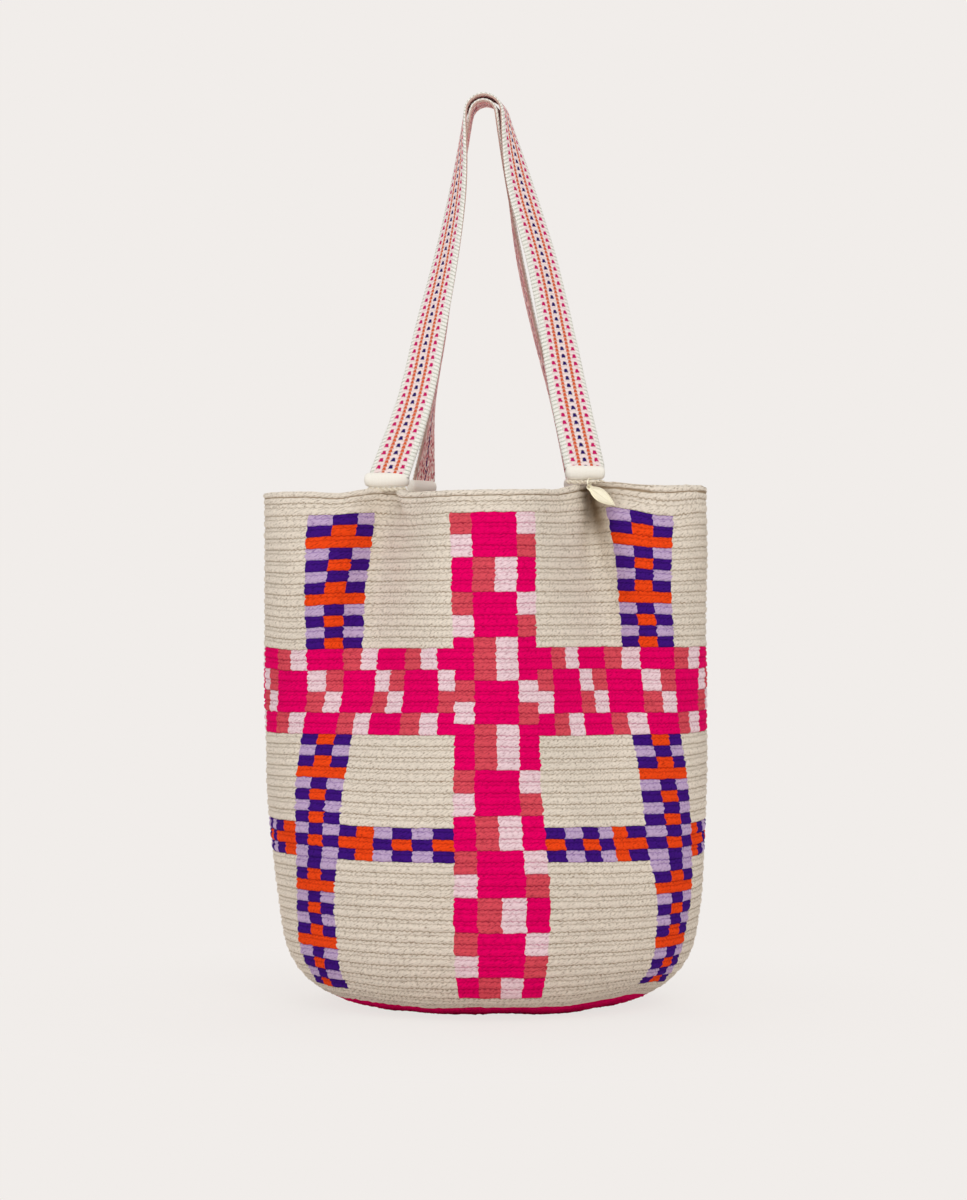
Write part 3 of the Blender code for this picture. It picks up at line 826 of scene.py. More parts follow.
@dataclass(frozen=True)
class Foot:
    """One strap end: where it meets the rim, and how its strap turns and bows on its way up.

    Turns are in degrees and bows in millimetres outwards, evenly spaced from the rim to the peg.
    """

    name: str
    x: float
    y: float
    column: float
    lift: float
    roll_turn: float
    turns: tuple[float, ...]
    bows: tuple[float, ...]
    wrap_shift: float = 1.7 * MM
    shorter: float = 0.0

    @property
    def side(self) -> float:
        """Return -1 on the left and 1 on the right."""
        return math.copysign(1.0, self.x)

    @property
    def front(self) -> float:
        """Return 1 for the front strap and -1 for the back strap."""
        return -math.copysign(1.0, self.y)

    def width_direction(self, degrees: float) -> Vector:
        """Return the direction across the strap where it is turned this far."""
        turn = math.radians(degrees)
        return Vector((-self.side * self.front * math.cos(turn), -math.sin(turn), 0.0))

    def strap_across(self, share: float) -> Vector:
        """Return the direction across the strap, from the rim at 0 to the peg at 1."""
        return self.width_direction(ease_through(self.turns, share))

    def matrix(self, height: float) -> Matrix:
        """Return the transform of the roll's own axes, its length along X, at one height.

        Args:
            height: The height of their origin.

        Returns:
            The transform to the bag's frame.
        """
        across = self.width_direction(self.roll_turn) * -self.side * self.front
        place = Vector((self.x, self.y, height)) + across * self.side * self.wrap_shift
        return Matrix.Translation(place) @ Matrix.Rotation(math.atan2(across.y, across.x), 4, "Z")


FRONT_LEFT = Foot("front_left", -0.0607, -0.049, -6.6, 0.0004, 0.0, (9, 25, 36, 52, 67, 89),
                  (0.0, -6.3, -6.5, -7.1, -5.5, 0.0))
FRONT_RIGHT = Foot("front_right", 0.0621, -0.049, 6.6, 0.0037, 10.0, (10, 15, 29, 38, 45, 79),
                   (0.0, 0.3, 2.0, 2.4, -0.7, 0.0), wrap_shift=0.2 * MM, shorter=1.6 * MM)
BACK_LEFT = Foot("back_left", -0.0419, 0.071, 36.0, 0.0010, 57.0, (57, 86, 90, 89, 88, 88),
                 (0.0, 0.9, -1.4, -1.0, 1.2, 0.0))
BACK_RIGHT = Foot("back_right", 0.0605, 0.050, 26.0, 0.0010, 57.0, (57, 82, 86, 85, 93, 100),
                  (0.0, -3.7, -6.7, -6.9, -4.4, 0.0))
FEET = (FRONT_LEFT, FRONT_RIGHT, BACK_LEFT, BACK_RIGHT)


@dataclass
class BagShape:
    """The bag's surface over pattern column and distance down from the rim, in metres."""

    radius: float = 0.1425
    rim_height: float = 0.3265
    wall: float = 0.0042
    base_flat: float = 0.066
    corner_height: float = 0.045
    corner_power: float = 2.4
    draw_in: float = 0.018
    draw_in_height: float = 0.170
    base_shift: float = 0.0026
    base_shift_top: float = 0.140
    fold_foot: float = 0.080
    fold_ease: float = 0.14
    mouth_half_depth: float = 0.062
    mouth_power: float = 3.8
    bulge_depth: float = 0.038
    bulge_half_width: float = 0.044
    crease_depth: float = 0.024
    crease_fade: float = 1.6
    crease_width_mouth: float = 0.014
    crease_width_foot: float = 0.030
    crease_offset_mouth: float = 0.060
    crease_offset_foot: float = 0.097
    back_crease_shift: float = 0.008
    rim_tilt: float = 0.0015
    rim_tilt_reach: float = 0.100
    rim_rise_end: float = 0.300
    lift_reach: float = 0.028
    lift_columns: float = 2.4
    facing_ease: float = 6.0            # how soon front and back differ beside the sides
    samples: int = 1440
    wall_steps: int = 160
    corner_steps: int = 120
    normal_reach: float = 2.0 * MM      # how far beside a point its normal is measured
    side_radius: np.ndarray = field(init=False)
    side_height: np.ndarray = field(init=False)
    side_arc: np.ndarray = field(init=False)

    def __post_init__(self) -> None:
        """Work out the side from the rim down to the flat base."""
        wall_z = np.linspace(self.rim_height, self.corner_height, self.wall_steps)
        turn = np.linspace(0.0, math.pi / 2, self.corner_steps)[1:]
        corner_z = self.corner_height * (1.0 - np.sin(turn) ** (2 / self.corner_power))
        reach = np.cos(turn) ** (2 / self.corner_power)
        wall_r = np.array([self.wall_radius(z) for z in wall_z])
        corner_r = np.array([mix(self.base_flat, self.wall_radius(z), k) for z, k in zip(corner_z, reach)])
        self.side_radius = np.concatenate([wall_r, corner_r])
        self.side_height = np.concatenate([wall_z, corner_z])
        steps = np.hypot(np.diff(self.side_radius), np.diff(self.side_height))
        self.side_arc = np.concatenate([[0.0], np.cumsum(steps)])

    @property
    def length(self) -> float:
        """Return the distance from the rim down to the edge of the flat base."""
        return float(self.side_arc[-1])

    def wall_radius(self, z: float) -> float:
        """Return the wall's radius, narrower towards the base."""
        return self.radius - self.draw_in * max(1.0 - z / self.draw_in_height, 0.0) ** 2

    def fold_share(self, z: float) -> float:
        """Return 0 where the plan is a circle and 1 at the mouth."""
        share = clamp((z - self.fold_foot) / (self.rim_height - self.fold_foot))
        return share * share * (1.0 + self.fold_ease) / (share + self.fold_ease)

    def sideways(self, z: float) -> float:
        """Return how far the rounds at one height stand towards +X."""
        return self.base_shift * clamp(2.0 - 2.0 * z / self.base_shift_top)

    def plan_curve(self, z: float, radius: float) -> tuple[np.ndarray, np.ndarray]:
        """Return the closed plan curve at one height, from the front centre round by +X.

        Args:
            z: The height.
            radius: The wall's radius there.

        Returns:
            Its x and y.
        """
        share = self.fold_share(z)
        depth = mix(radius, self.mouth_half_depth, share)
        power = 2.0 + (self.mouth_power - 2.0) * share ** 3
        bulge = self.bulge_depth * (1.0 - (1.0 - share) ** 2)
        bulge_power = 2.0 + 2.0 * share ** 2
        crease = self.crease_depth * (1.0 - (1.0 - share) ** self.crease_fade)
        width = mix(self.crease_width_foot, self.crease_width_mouth, share)
        offset = mix(self.crease_offset_foot, self.crease_offset_mouth, share)
        angle = np.linspace(0.0, FULL_TURN, self.samples + 1)
        sine, cosine = np.sin(angle), np.cos(angle)
        x = radius * np.sign(sine) * np.abs(sine) ** (2 / power)
        facing = np.sign(cosine) * (1.0 - np.exp(-(np.abs(cosine) * self.facing_ease) ** 2))
        shift = np.where(cosine < 0.0, self.back_crease_shift * share, 0.0)
        folds = np.exp(-((x - offset - shift) / width) ** 2) + np.exp(-((x + offset - shift) / width) ** 2)
        y = -depth * np.sign(cosine) * np.abs(cosine) ** (2 / power)
        y -= facing * bulge * np.exp(-(np.abs(x) / self.bulge_half_width) ** bulge_power)
        y += facing * crease * folds
        return x, y

    def plan_at_columns(self, z: float, radius: float, columns: np.ndarray) -> tuple[np.ndarray, ...]:
        """Return plan points at evenly spaced pattern columns.

        Args:
            z: The height.
            radius: The wall's radius there.
            columns: The pattern columns wanted.

        Returns:
            Their x and y and their outward normals' x and y.
        """
        x, y = self.plan_curve(z, radius)
        arc = np.concatenate([[0.0], np.cumsum(np.hypot(np.diff(x), np.diff(y)))])
        where = columns % PATTERN_COLUMNS / PATTERN_COLUMNS * arc[-1]
        ahead, behind = (where + self.normal_reach) % arc[-1], (where - self.normal_reach) % arc[-1]
        along_x = np.interp(ahead, arc, x) - np.interp(behind, arc, x)
        along_y = np.interp(ahead, arc, y) - np.interp(behind, arc, y)
        size = np.hypot(along_x, along_y)
        return np.interp(where, arc, x), np.interp(where, arc, y), along_y / size, -along_x / size

    def rim_rise(self, columns: np.ndarray, down: float) -> np.ndarray:
        """Return how far the rounds rise at each column, fading with the way down.

        Args:
            columns: The pattern columns.
            down: The distance down from the rim.

        Returns:
            The rise at each.
        """
        level = max(1.0 - down / self.rim_rise_end, 0.0)
        rise = self.rim_tilt * np.sin(FULL_TURN * columns / PATTERN_COLUMNS)
        rise = rise * level * math.exp(-down / self.rim_tilt_reach)
        for foot in FEET:
            near = np.exp(-(columns_from(columns, foot.column) / self.lift_columns) ** 2)
            rise = rise + foot.lift * near * level * math.exp(-down / self.lift_reach)
        return rise

    def ring(self, down: float, inward: float | np.ndarray, columns: np.ndarray) -> np.ndarray:
        """Return one ring of points.

        Args:
            down: The distance down from the rim, which runs on over the flat base.
            inward: How far the points lie inside the surface.
            columns: Their pattern columns.

        Returns:
            Points, as columns x 3.
        """
        if down > self.length:
            reach = max(self.base_flat - (down - self.length), 0.0)
            turn = FULL_TURN * columns / PATTERN_COLUMNS
            return np.stack([reach * np.sin(turn) + self.sideways(0.0), -reach * np.cos(turn),
                             np.zeros_like(turn) + inward], axis=1)
        radius = float(np.interp(down, self.side_arc, self.side_radius))
        height = float(np.interp(down, self.side_arc, self.side_height))
        before, after = max(down - MM, 0.0), min(down + MM, self.length)
        slope_r = float(np.interp(after, self.side_arc, self.side_radius)
                        - np.interp(before, self.side_arc, self.side_radius))
        slope_z = float(np.interp(after, self.side_arc, self.side_height)
                        - np.interp(before, self.side_arc, self.side_height))
        size = math.hypot(slope_r, slope_z)
        out_r, out_z = -slope_z / size, slope_r / size
        x, y, normal_x, normal_y = self.plan_at_columns(height, radius, columns)
        return np.stack([x + self.sideways(height) - inward * out_r * normal_x,
                         y - inward * out_r * normal_y,
                         height + self.rim_rise(columns, down) - inward * out_z], axis=1)


@dataclass(frozen=True)
class Row:
    """One ring of the crochet: its place, how deep it lies, its pitch and its shadow.

    A shadow above 1 darkens the ring, and one below 0 takes the lines between rounds away.
    """

    down: float
    inward: float
    pitch: float
    groove_shade: float


@dataclass(frozen=True)
class Wander:
    """A place where the hand-worked columns wander, the wall is tucked or lifted, or little light falls.

    Its middle is a column and a distance down from the rim, with a width in each. The amount is
    in columns, in metres or a share of shadow.
    """

    column: float
    spread: float
    down: float
    reach: float
    amount: float

    def weigh(self, columns: np.ndarray, down: float) -> np.ndarray:
        """Return its amount at each column of one ring."""
        beside = np.exp(-(columns_from(columns, self.column) / self.spread) ** 2)
        return self.amount * beside * math.exp(-((down - self.down) / self.reach) ** 2)


@dataclass
class CrochetBody:
    """The bucket: ribbed rounds outside and inside, a beaded rim and a round base."""

    shape: BagShape
    plaid: Plaid
    per_column: int = 4
    round_pitch: float = 7.0 * MM
    pattern_top: float = 15.3 * MM      # from the rim down to the first patterned round
    column_mm: float = 14.0             # width of one pattern column
    bead: float = 3.6 * MM
    plain_rib: float = 4.0 * MM
    groove_depth: float = 1.0 * MM
    hand_depth: float = 0.13 * MM       # unevenness from stitch to stitch
    hand_height: float = 0.16 * MM
    stitch_jitter: float = 0.012        # unevenness of a colour's edge, in columns
    round_jitter: float = 0.03
    side_rise: float = 1.1 * MM         # how much higher the rim stands at the two sides
    drift_rim: float = 0.33             # how far the pattern stands towards +X at the rim, in columns
    drift_low: float = 0.47
    drift_over: float = 0.12
    flare: float = 0.5                  # how far the lowest columns spread, in columns
    flare_from: float = 0.225
    flare_over: float = 0.035
    settle: float = 3.2 * MM            # how much higher the middle rounds lie than even ones
    settle_from: tuple[float, float] = (8.0, 14.0)      # the pitch where that begins, and over how many
    settle_back: tuple[float, float] = (38.0, 6.0)
    foot_gap: float = 0.1 * MM          # least height above the floor
    seed: int = 11
    # Share of a round from its top and depth of each ring of it
    section: tuple[tuple[float, float], ...] = (
        (0.0, 1.0), (0.165, 0.20), (0.33, 0.85), (0.52, 0.05), (0.81, 0.10))
    base_section: tuple[tuple[float, float], ...] = ((0.0, 1.0), (0.5, 0.05))
    inner_section: tuple[tuple[float, float], ...] = ((0.0, 0.5), (0.5, 0.0))
    deep_section: tuple[tuple[float, float], ...] = ((0.0, 0.2),)
    deep_from: int = 31                 # the round below which the inside is plainer
    # Rings of the neck: share of the plain rib down, depth, pitch and painted groove shade, the first
    # ring's being painted shade under the bead
    neck_section: tuple[tuple[float, ...], ...] = (
        (0.0, 1.0, -1.55, 2.5), (0.3, 0.1, -1.38, -0.6), (0.7, 0.1, -1.16, -0.6))
    # Rings over the rim: share of the bead down and of the wall in, millimetres further in, pitch
    rim_section: tuple[tuple[float, ...], ...] = (
        (0.75, 0.0, 0.0, -1.70), (0.45, 0.0, -0.25, -1.86), (0.15, 0.0, 0.25, -2.02),
        (0.0, 0.35, 0.0, -2.22), (0.0, 0.68, 0.0, -2.42), (0.25, 1.0, -0.2, -2.62), (0.8, 1.0, 0.0, -2.9))
    # Rings of what is left at the middle of the base: share of the way in, depth and share of a round
    last_section: tuple[tuple[float, ...], ...] = ((0.0, 1.0, 0.0), (0.5, 0.0, 0.4), (1.0, 0.6, 0.5))
    # Waves of hand work round the bag: size, count, turn for each metre down, and start
    sway: float = 0.30 * MM
    sways: tuple[tuple[float, ...], ...] = ((1.0, 5, 31, 0.0), (1.0, 9, -47, 1.3), (0.7, 17, 85, 4.0))
    sway_from: float = 0.02
    heave: float = 0.25 * MM
    heaves: tuple[tuple[float, ...], ...] = ((1.0, 3, 60, 0.0), (0.6, 7, -38, 2.0))
    wanders: tuple[Wander, ...] = (
        Wander(9.5, 3.5, 0.124, 0.045, -0.50), Wander(13.5, 2.0, 0.124, 0.040, -0.30),
        Wander(10.8, 2.2, 0.068, 0.034, -0.42), Wander(8.0, 1.0, 0.040, 0.036, -0.16),
        Wander(11.5, 1.6, 0.010, 0.018, 0.26), Wander(8.0, 1.0, 0.100, 0.020, 0.10),
        Wander(-9.0, 0.8, 0.124, 0.030, 0.18), Wander(7.9, 1.0, 0.220, 0.040, -0.24),
        Wander(-11.2, 1.3, 0.290, 0.032, -0.75), Wander(-8.5, 1.4, 0.314, 0.022, -0.80),
        Wander(-11.0, 1.8, 0.318, 0.008, -0.85), Wander(11.0, 1.4, 0.325, 0.020, 0.30),
        Wander(-12.4, 1.4, 0.219, 0.020, -0.45), Wander(11.1, 0.8, 0.050, 0.038, -0.12),
        Wander(7.0, 1.6, 0.220, 0.050, -0.35), Wander(11.0, 1.8, 0.220, 0.050, 0.38),
        Wander(-11.0, 1.3, 0.020, 0.035, -0.28), Wander(-8.0, 1.3, 0.020, 0.035, 0.26),
        Wander(-10.5, 1.6, 0.124, 0.040, 0.40), Wander(2.5, 1.5, 0.124, 0.050, 0.18),
        Wander(-3.0, 1.2, 0.124, 0.050, 0.18), Wander(12.0, 1.2, 0.124, 0.040, -0.20),
        Wander(2.5, 1.5, 0.220, 0.050, 0.14))
    tucks_x: tuple[Wander, ...] = (
        Wander(-5.0, 0.8, 0.0, 0.012, -8.0 * MM), Wander(-6.3, 0.8, 0.0, 0.016, 4.0 * MM),
        Wander(5.9, 1.2, 0.0, 0.045, 6.5 * MM), Wander(7.9, 0.7, 0.004, 0.022, -3.4 * MM),
        Wander(15.0, 3.5, 0.0, 0.050, -1.1 * MM))
    tucks_y: tuple[Wander, ...] = (
        Wander(-7.1, 1.1, 0.0, 0.022, -7.0 * MM), Wander(7.0, 0.75, 0.004, 0.026, 12.0 * MM))
    shade_reach: float = 0.1            # below this no place is in shade
    shade_least: float = 0.03
    # Painted shade where little light reaches: between folds, and on the right side where the wall turns
    # away
    shades: tuple[Wander, ...] = (
        Wander(7.6, 0.75, 0.017, 0.016, 0.72), Wander(7.0, 0.6, 0.008, 0.012, 0.45),
        Wander(8.9, 1.1, 0.002, 0.012, 0.22), Wander(14.2, 1.8, 0.050, 0.040, 0.16))
    lifts: tuple[Wander, ...] = (
        Wander(-7.2, 1.4, 0.0, 0.016, 2.6 * MM), Wander(-5.4, 0.5, 0.0, 0.012, 1.4 * MM),
        Wander(-9.8, 0.9, 0.0, 0.014, -1.5 * MM), Wander(4.4, 0.9, 0.0, 0.014, -1.2 * MM),
        Wander(-8.8, 2.2, 0.022, 0.018, 1.3 * MM), Wander(11.3, 1.2, 0.012, 0.012, -1.8 * MM),
        Wander(7.4, 0.6, 0.0, 0.014, 1.2 * MM), Wander(10.0, 2.0, 0.040, 0.030, 1.2 * MM),
        Wander(0.0, 4.5, 0.318, 0.012, -2.0 * MM), Wander(0.0, 4.5, 0.298, 0.010, 0.9 * MM),
        Wander(0.0, 6.0, 0.0, 0.014, -1.6 * MM), Wander(0.0, 5.0, 0.200, 0.080, 1.7 * MM),
        Wander(-11.5, 1.8, 0.080, 0.045, -1.8 * MM), Wander(-10.0, 4.0, 0.220, 0.045, 1.6 * MM),
        Wander(10.8, 1.8, 0.035, 0.040, -2.4 * MM), Wander(7.8, 1.3, 0.040, 0.030, 1.3 * MM),
        Wander(8.6, 1.0, 0.013, 0.013, 1.6 * MM), Wander(9.6, 2.6, 0.322, 0.020, 3.4 * MM),
        Wander(11.5, 3.5, 0.0, 0.014, 2.8 * MM), Wander(11.0, 2.5, 0.210, 0.060, -1.2 * MM))

    def outer_rows(self) -> list[Row]:
        """Return the rings from just under the rim down to the middle of the base.

        Returns:
            The rings in order.
        """
        rows = [Row(self.bead + self.plain_rib * share, depth * self.groove_depth, pitch, groove_shade)
                for share, depth, pitch, groove_shade in self.neck_section]
        first = self.bead + self.plain_rib
        for share, depth in self.section:
            down = mix(first, self.pattern_top, share)
            rows.append(Row(down, depth * self.groove_depth, share - 1.0, 0.0))
        end = self.shape.length + self.shape.base_flat
        rounds = int((end - self.pattern_top) / self.round_pitch)
        for index in range(rounds):
            hidden = self.pattern_top + index * self.round_pitch > self.shape.length
            for share, depth in self.base_section if hidden else self.section:
                down = self.pattern_top + (index + share) * self.round_pitch - self.settled(index + share)
                rows.append(Row(down, depth * self.groove_depth, index + share, 0.0))
        last = self.pattern_top + rounds * self.round_pitch
        for share, depth, further in self.last_section:
            rows.append(Row(mix(last, end, share), depth * self.groove_depth, rounds + further, 0.0))
        return rows

    def rim_rows(self) -> list[Row]:
        """Return the rings over the rim, from outside to inside."""
        return [Row(self.bead * share, self.shape.wall * within + further * MM, pitch, -1.0)
                for share, within, further, pitch in self.rim_section]

    def inner_rows(self) -> list[Row]:
        """Return the rings of the inside from the rim down to the middle of the base.

        Returns:
            The rings in order.
        """
        end = self.shape.length + self.shape.base_flat
        rounds = int((end - self.pattern_top) / self.round_pitch)
        rows = []
        for index in range(-1, rounds):
            for share, depth in self.deep_section if index >= self.deep_from else self.inner_section:
                down = self.pattern_top + (index + share) * self.round_pitch
                rows.append(Row(down, self.shape.wall - depth * MM, index + share, 0.0))
        rows.append(Row(end, self.shape.wall, rounds, 0.0))
        return rows

    def settled(self, pitch: float) -> float:
        """Return how much nearer the rim a round lies than if all were evenly high.

        Args:
            pitch: The pitch from the pattern's top.

        Returns:
            The distance.
        """
        gained, lost = (clamp((pitch - start) / over)
                        for start, over in (self.settle_from, self.settle_back))
        return self.settle * (ease(gained) - ease(lost))

    def drift(self, down: float) -> float:
        """Return how far the pattern stands towards +X, in columns."""
        return mix(self.drift_rim, self.drift_low, clamp(down / self.drift_over))

    def spread(self, columns: np.ndarray, down: float) -> np.ndarray:
        """Return pattern columns moved to where the hand work puts them.

        Args:
            columns: The pattern columns.
            down: The distance down from the rim.

        Returns:
            The moved columns.
        """
        share = clamp((down - self.flare_from) / self.flare_over)
        flared = self.flare * share * np.sin(2.0 * FULL_TURN * columns / PATTERN_COLUMNS)
        return columns + flared + sum(wander.weigh(columns, down) for wander in self.wanders)

    def waves(self, kinds: tuple[tuple[float, ...], ...], columns: np.ndarray,
              down: float) -> np.ndarray:
        """Return the sum of slow waves round the bag at each column of one ring."""
        turn = FULL_TURN * columns / PATTERN_COLUMNS
        return sum(size * np.sin(count * turn + down * lean + start)
                   for size, count, lean, start in kinds)

    def row_points(self, row: Row, cells: np.ndarray, hand: np.random.Generator) -> np.ndarray:
        """Return one ring's points, as uneven as hand work.

        Args:
            row: The ring.
            cells: The pattern columns before they wander.
            hand: The source of the small unevenness.

        Returns:
            Points, as columns x 3.
        """
        shape = self.shape
        level = 1.0 if row.down < shape.length else 0.0
        edge = self.stitch_jitter * hand.standard_normal(len(cells))
        edge = edge + self.round_jitter * hand.standard_normal()
        columns = self.spread(cells + self.drift(row.down), row.down) + edge * level
        sway = self.sway * min(row.down / self.sway_from, 1.0)
        inward = row.inward - self.waves(self.sways, columns, row.down) * sway * level
        inward = inward + hand.standard_normal(len(cells)) * self.hand_depth * level
        points = shape.ring(row.down, inward, columns)
        heave = self.waves(self.heaves, columns, row.down) * self.heave
        points[:, 2] += (heave + hand.standard_normal(len(cells)) * self.hand_height) * level
        fade = clamp(1.0 - row.down / shape.rim_rise_end) * math.exp(-row.down / shape.rim_tilt_reach)
        points[:, 2] += self.side_rise * np.sin(FULL_TURN * columns / PATTERN_COLUMNS) ** 4 * fade
        for axis, moves in enumerate((self.tucks_x, self.tucks_y, self.lifts)):
            points[:, axis] += sum(move.weigh(columns, row.down) for move in moves)
        points[:, 2] = np.maximum(points[:, 2], self.foot_gap)
        return points

    def darkness(self, rows: list[Row], cells: np.ndarray) -> np.ndarray:
        """Return the painted groove shade of every vertex, with painted shade where little light reaches.

        Args:
            rows: The body's rings.
            cells: The pattern columns of a ring.

        Returns:
            The grooves by row and column, with one more column than the rings.
        """
        levels = np.repeat([[row.groove_shade] for row in rows], len(cells) + 1, axis=1)
        columns = np.append(cells, PATTERN_COLUMNS)
        for index, row in enumerate(rows):
            if row.inward < self.shape.wall / 2 and row.down < self.shade_reach:
                shade = sum(place.weigh(columns + self.drift(row.down), row.down) for place in self.shades)
                shaded = np.maximum(levels[index], 1.0 + shade)
                levels[index] = np.where(shade > self.shade_least, shaded, levels[index])
        return levels

    def build(self, cotton: bpy.types.Material) -> None:
        """Build the body and dress it with its dyes.

        Args:
            cotton: The crochet's finish.
        """
        rows = list(reversed(self.outer_rows())) + self.rim_rows() + self.inner_rows()
        around = PATTERN_COLUMNS * self.per_column
        cells = np.arange(around) / self.per_column
        darkness = self.darkness(rows, cells)
        hand = np.random.default_rng(self.seed)
        rings = np.stack([self.row_points(row, cells, hand) for row in rows])
        rings[0] = rings[0].mean(axis=0)
        rings[-1] = rings[-1].mean(axis=0)
        pitch_mm = np.array([row.pitch for row in rows]) * self.round_pitch / MM
        stitch_mm = np.arange(around + 1) / self.per_column * self.column_mm
        uv = np.stack(np.meshgrid(stitch_mm, pitch_mm), axis=-1)

        def dress(mesh: bpy.types.Mesh, row: np.ndarray, column: np.ndarray) -> None:
            """Give each face its dye and its darker tone for painted shade and carried yarn, and each
            vertex its painted groove shade.

            Args:
                mesh: The unmerged body.
                row: Each vertex's row.
                column: Each vertex's column.
            """
            groove_shade = mesh.attributes.new("groove_shade", "FLOAT", "POINT")
            groove_shade.data.foreach_set("value", darkness[row, column].astype(np.float32))
            corner = np.empty(len(mesh.loops), dtype=int)
            mesh.loops.foreach_get("vertex_index", corner)
            by_face = corner.reshape(-1, 4)
            cell = column[by_face].min(axis=1)
            cell = np.where(column[by_face].max(axis=1) - cell > 1, around - 1, cell) // self.per_column
            low = row[by_face].min(axis=1)
            middle = [(one.pitch + two.pitch) / 2 for one, two in zip(rows, rows[1:])]
            worked = [self.plaid.dye(where, math.floor(middle[first]))
                      for where, first in zip(cell.tolist(), low.tolist())]
            for tone, name in enumerate(("dye", "carried_yarn_and_shade")):
                lights = {dye: linear(dye.value[tone]) for dye in Dye}
                colours = np.array([lights[dye] for dye in worked], dtype=np.float32)
                layer = mesh.color_attributes.new(name, "FLOAT_COLOR", "CORNER")
                layer.data.foreach_set("color", np.repeat(colours, 4, axis=0).ravel())

        piece = finish_piece("crochet_body", wrap_rings(rings, uv, dress=dress), cotton)
        install(piece, "bag", "bag_body")


# Straps

@dataclass
class StrapWork:
    """Sizes that the straps, their rolled ends and their lashings share."""

    shape: BagShape
    clearance: float = 0.3 * MM
    width: float = 26.0 * MM
    thickness: float = 2.2 * MM
    gap: float = 1.9 * MM
    top: float = 0.5842
    arch_radius: float = 14.5 * MM
    arch_x: float = -0.6 * MM
    arch_steps: int = 12
    leg_steps: int = 22
    wrap_length: float = 28.5 * MM
    wrap_height: float = 9.0 * MM
    wrap_depth: float = 7.8 * MM
    lash_length: float = 24.0 * MM
    lash_diameter: float = 2.2 * MM
    lash_plump: float = 1.45            # how far the soft strands swell beyond that
    tucked_in: float = 1.2 * MM         # how far a strap runs into its roll
    seat_samples: int = 8               # places of the rim tried in each column

    def rim_seat(self, foot: Foot) -> float:
        """Return the height of the highest part of the rim under a strap end's lashing.

        Args:
            foot: The strap end.

        Returns:
            The height.
        """
        tried = PATTERN_COLUMNS * self.seat_samples
        columns = np.linspace(0.0, PATTERN_COLUMNS, tried, endpoint=False)
        to_foot = foot.matrix(0.0).inverted()
        seat = 0.0
        for inward in (0.0, self.shape.wall / 2, self.shape.wall):
            for place in self.shape.ring(0.0, inward, columns):
                local = to_foot @ Vector(place)
                if abs(local.x) < self.lash_length / 2 and abs(local.y) < self.lash_diameter:
                    seat = max(seat, local.z)
        return seat if seat > 0.0 else self.shape.rim_height

    def lash_height(self, foot: Foot) -> float:
        """Return the height of the middle of a strap end's lashing."""
        return self.rim_seat(foot) + self.clearance + self.lash_diameter / 2

    def wrap_bottom(self, foot: Foot) -> float:
        """Return the height of the underside of a rolled strap end."""
        return self.lash_height(foot) + self.lash_diameter / 2 + self.clearance


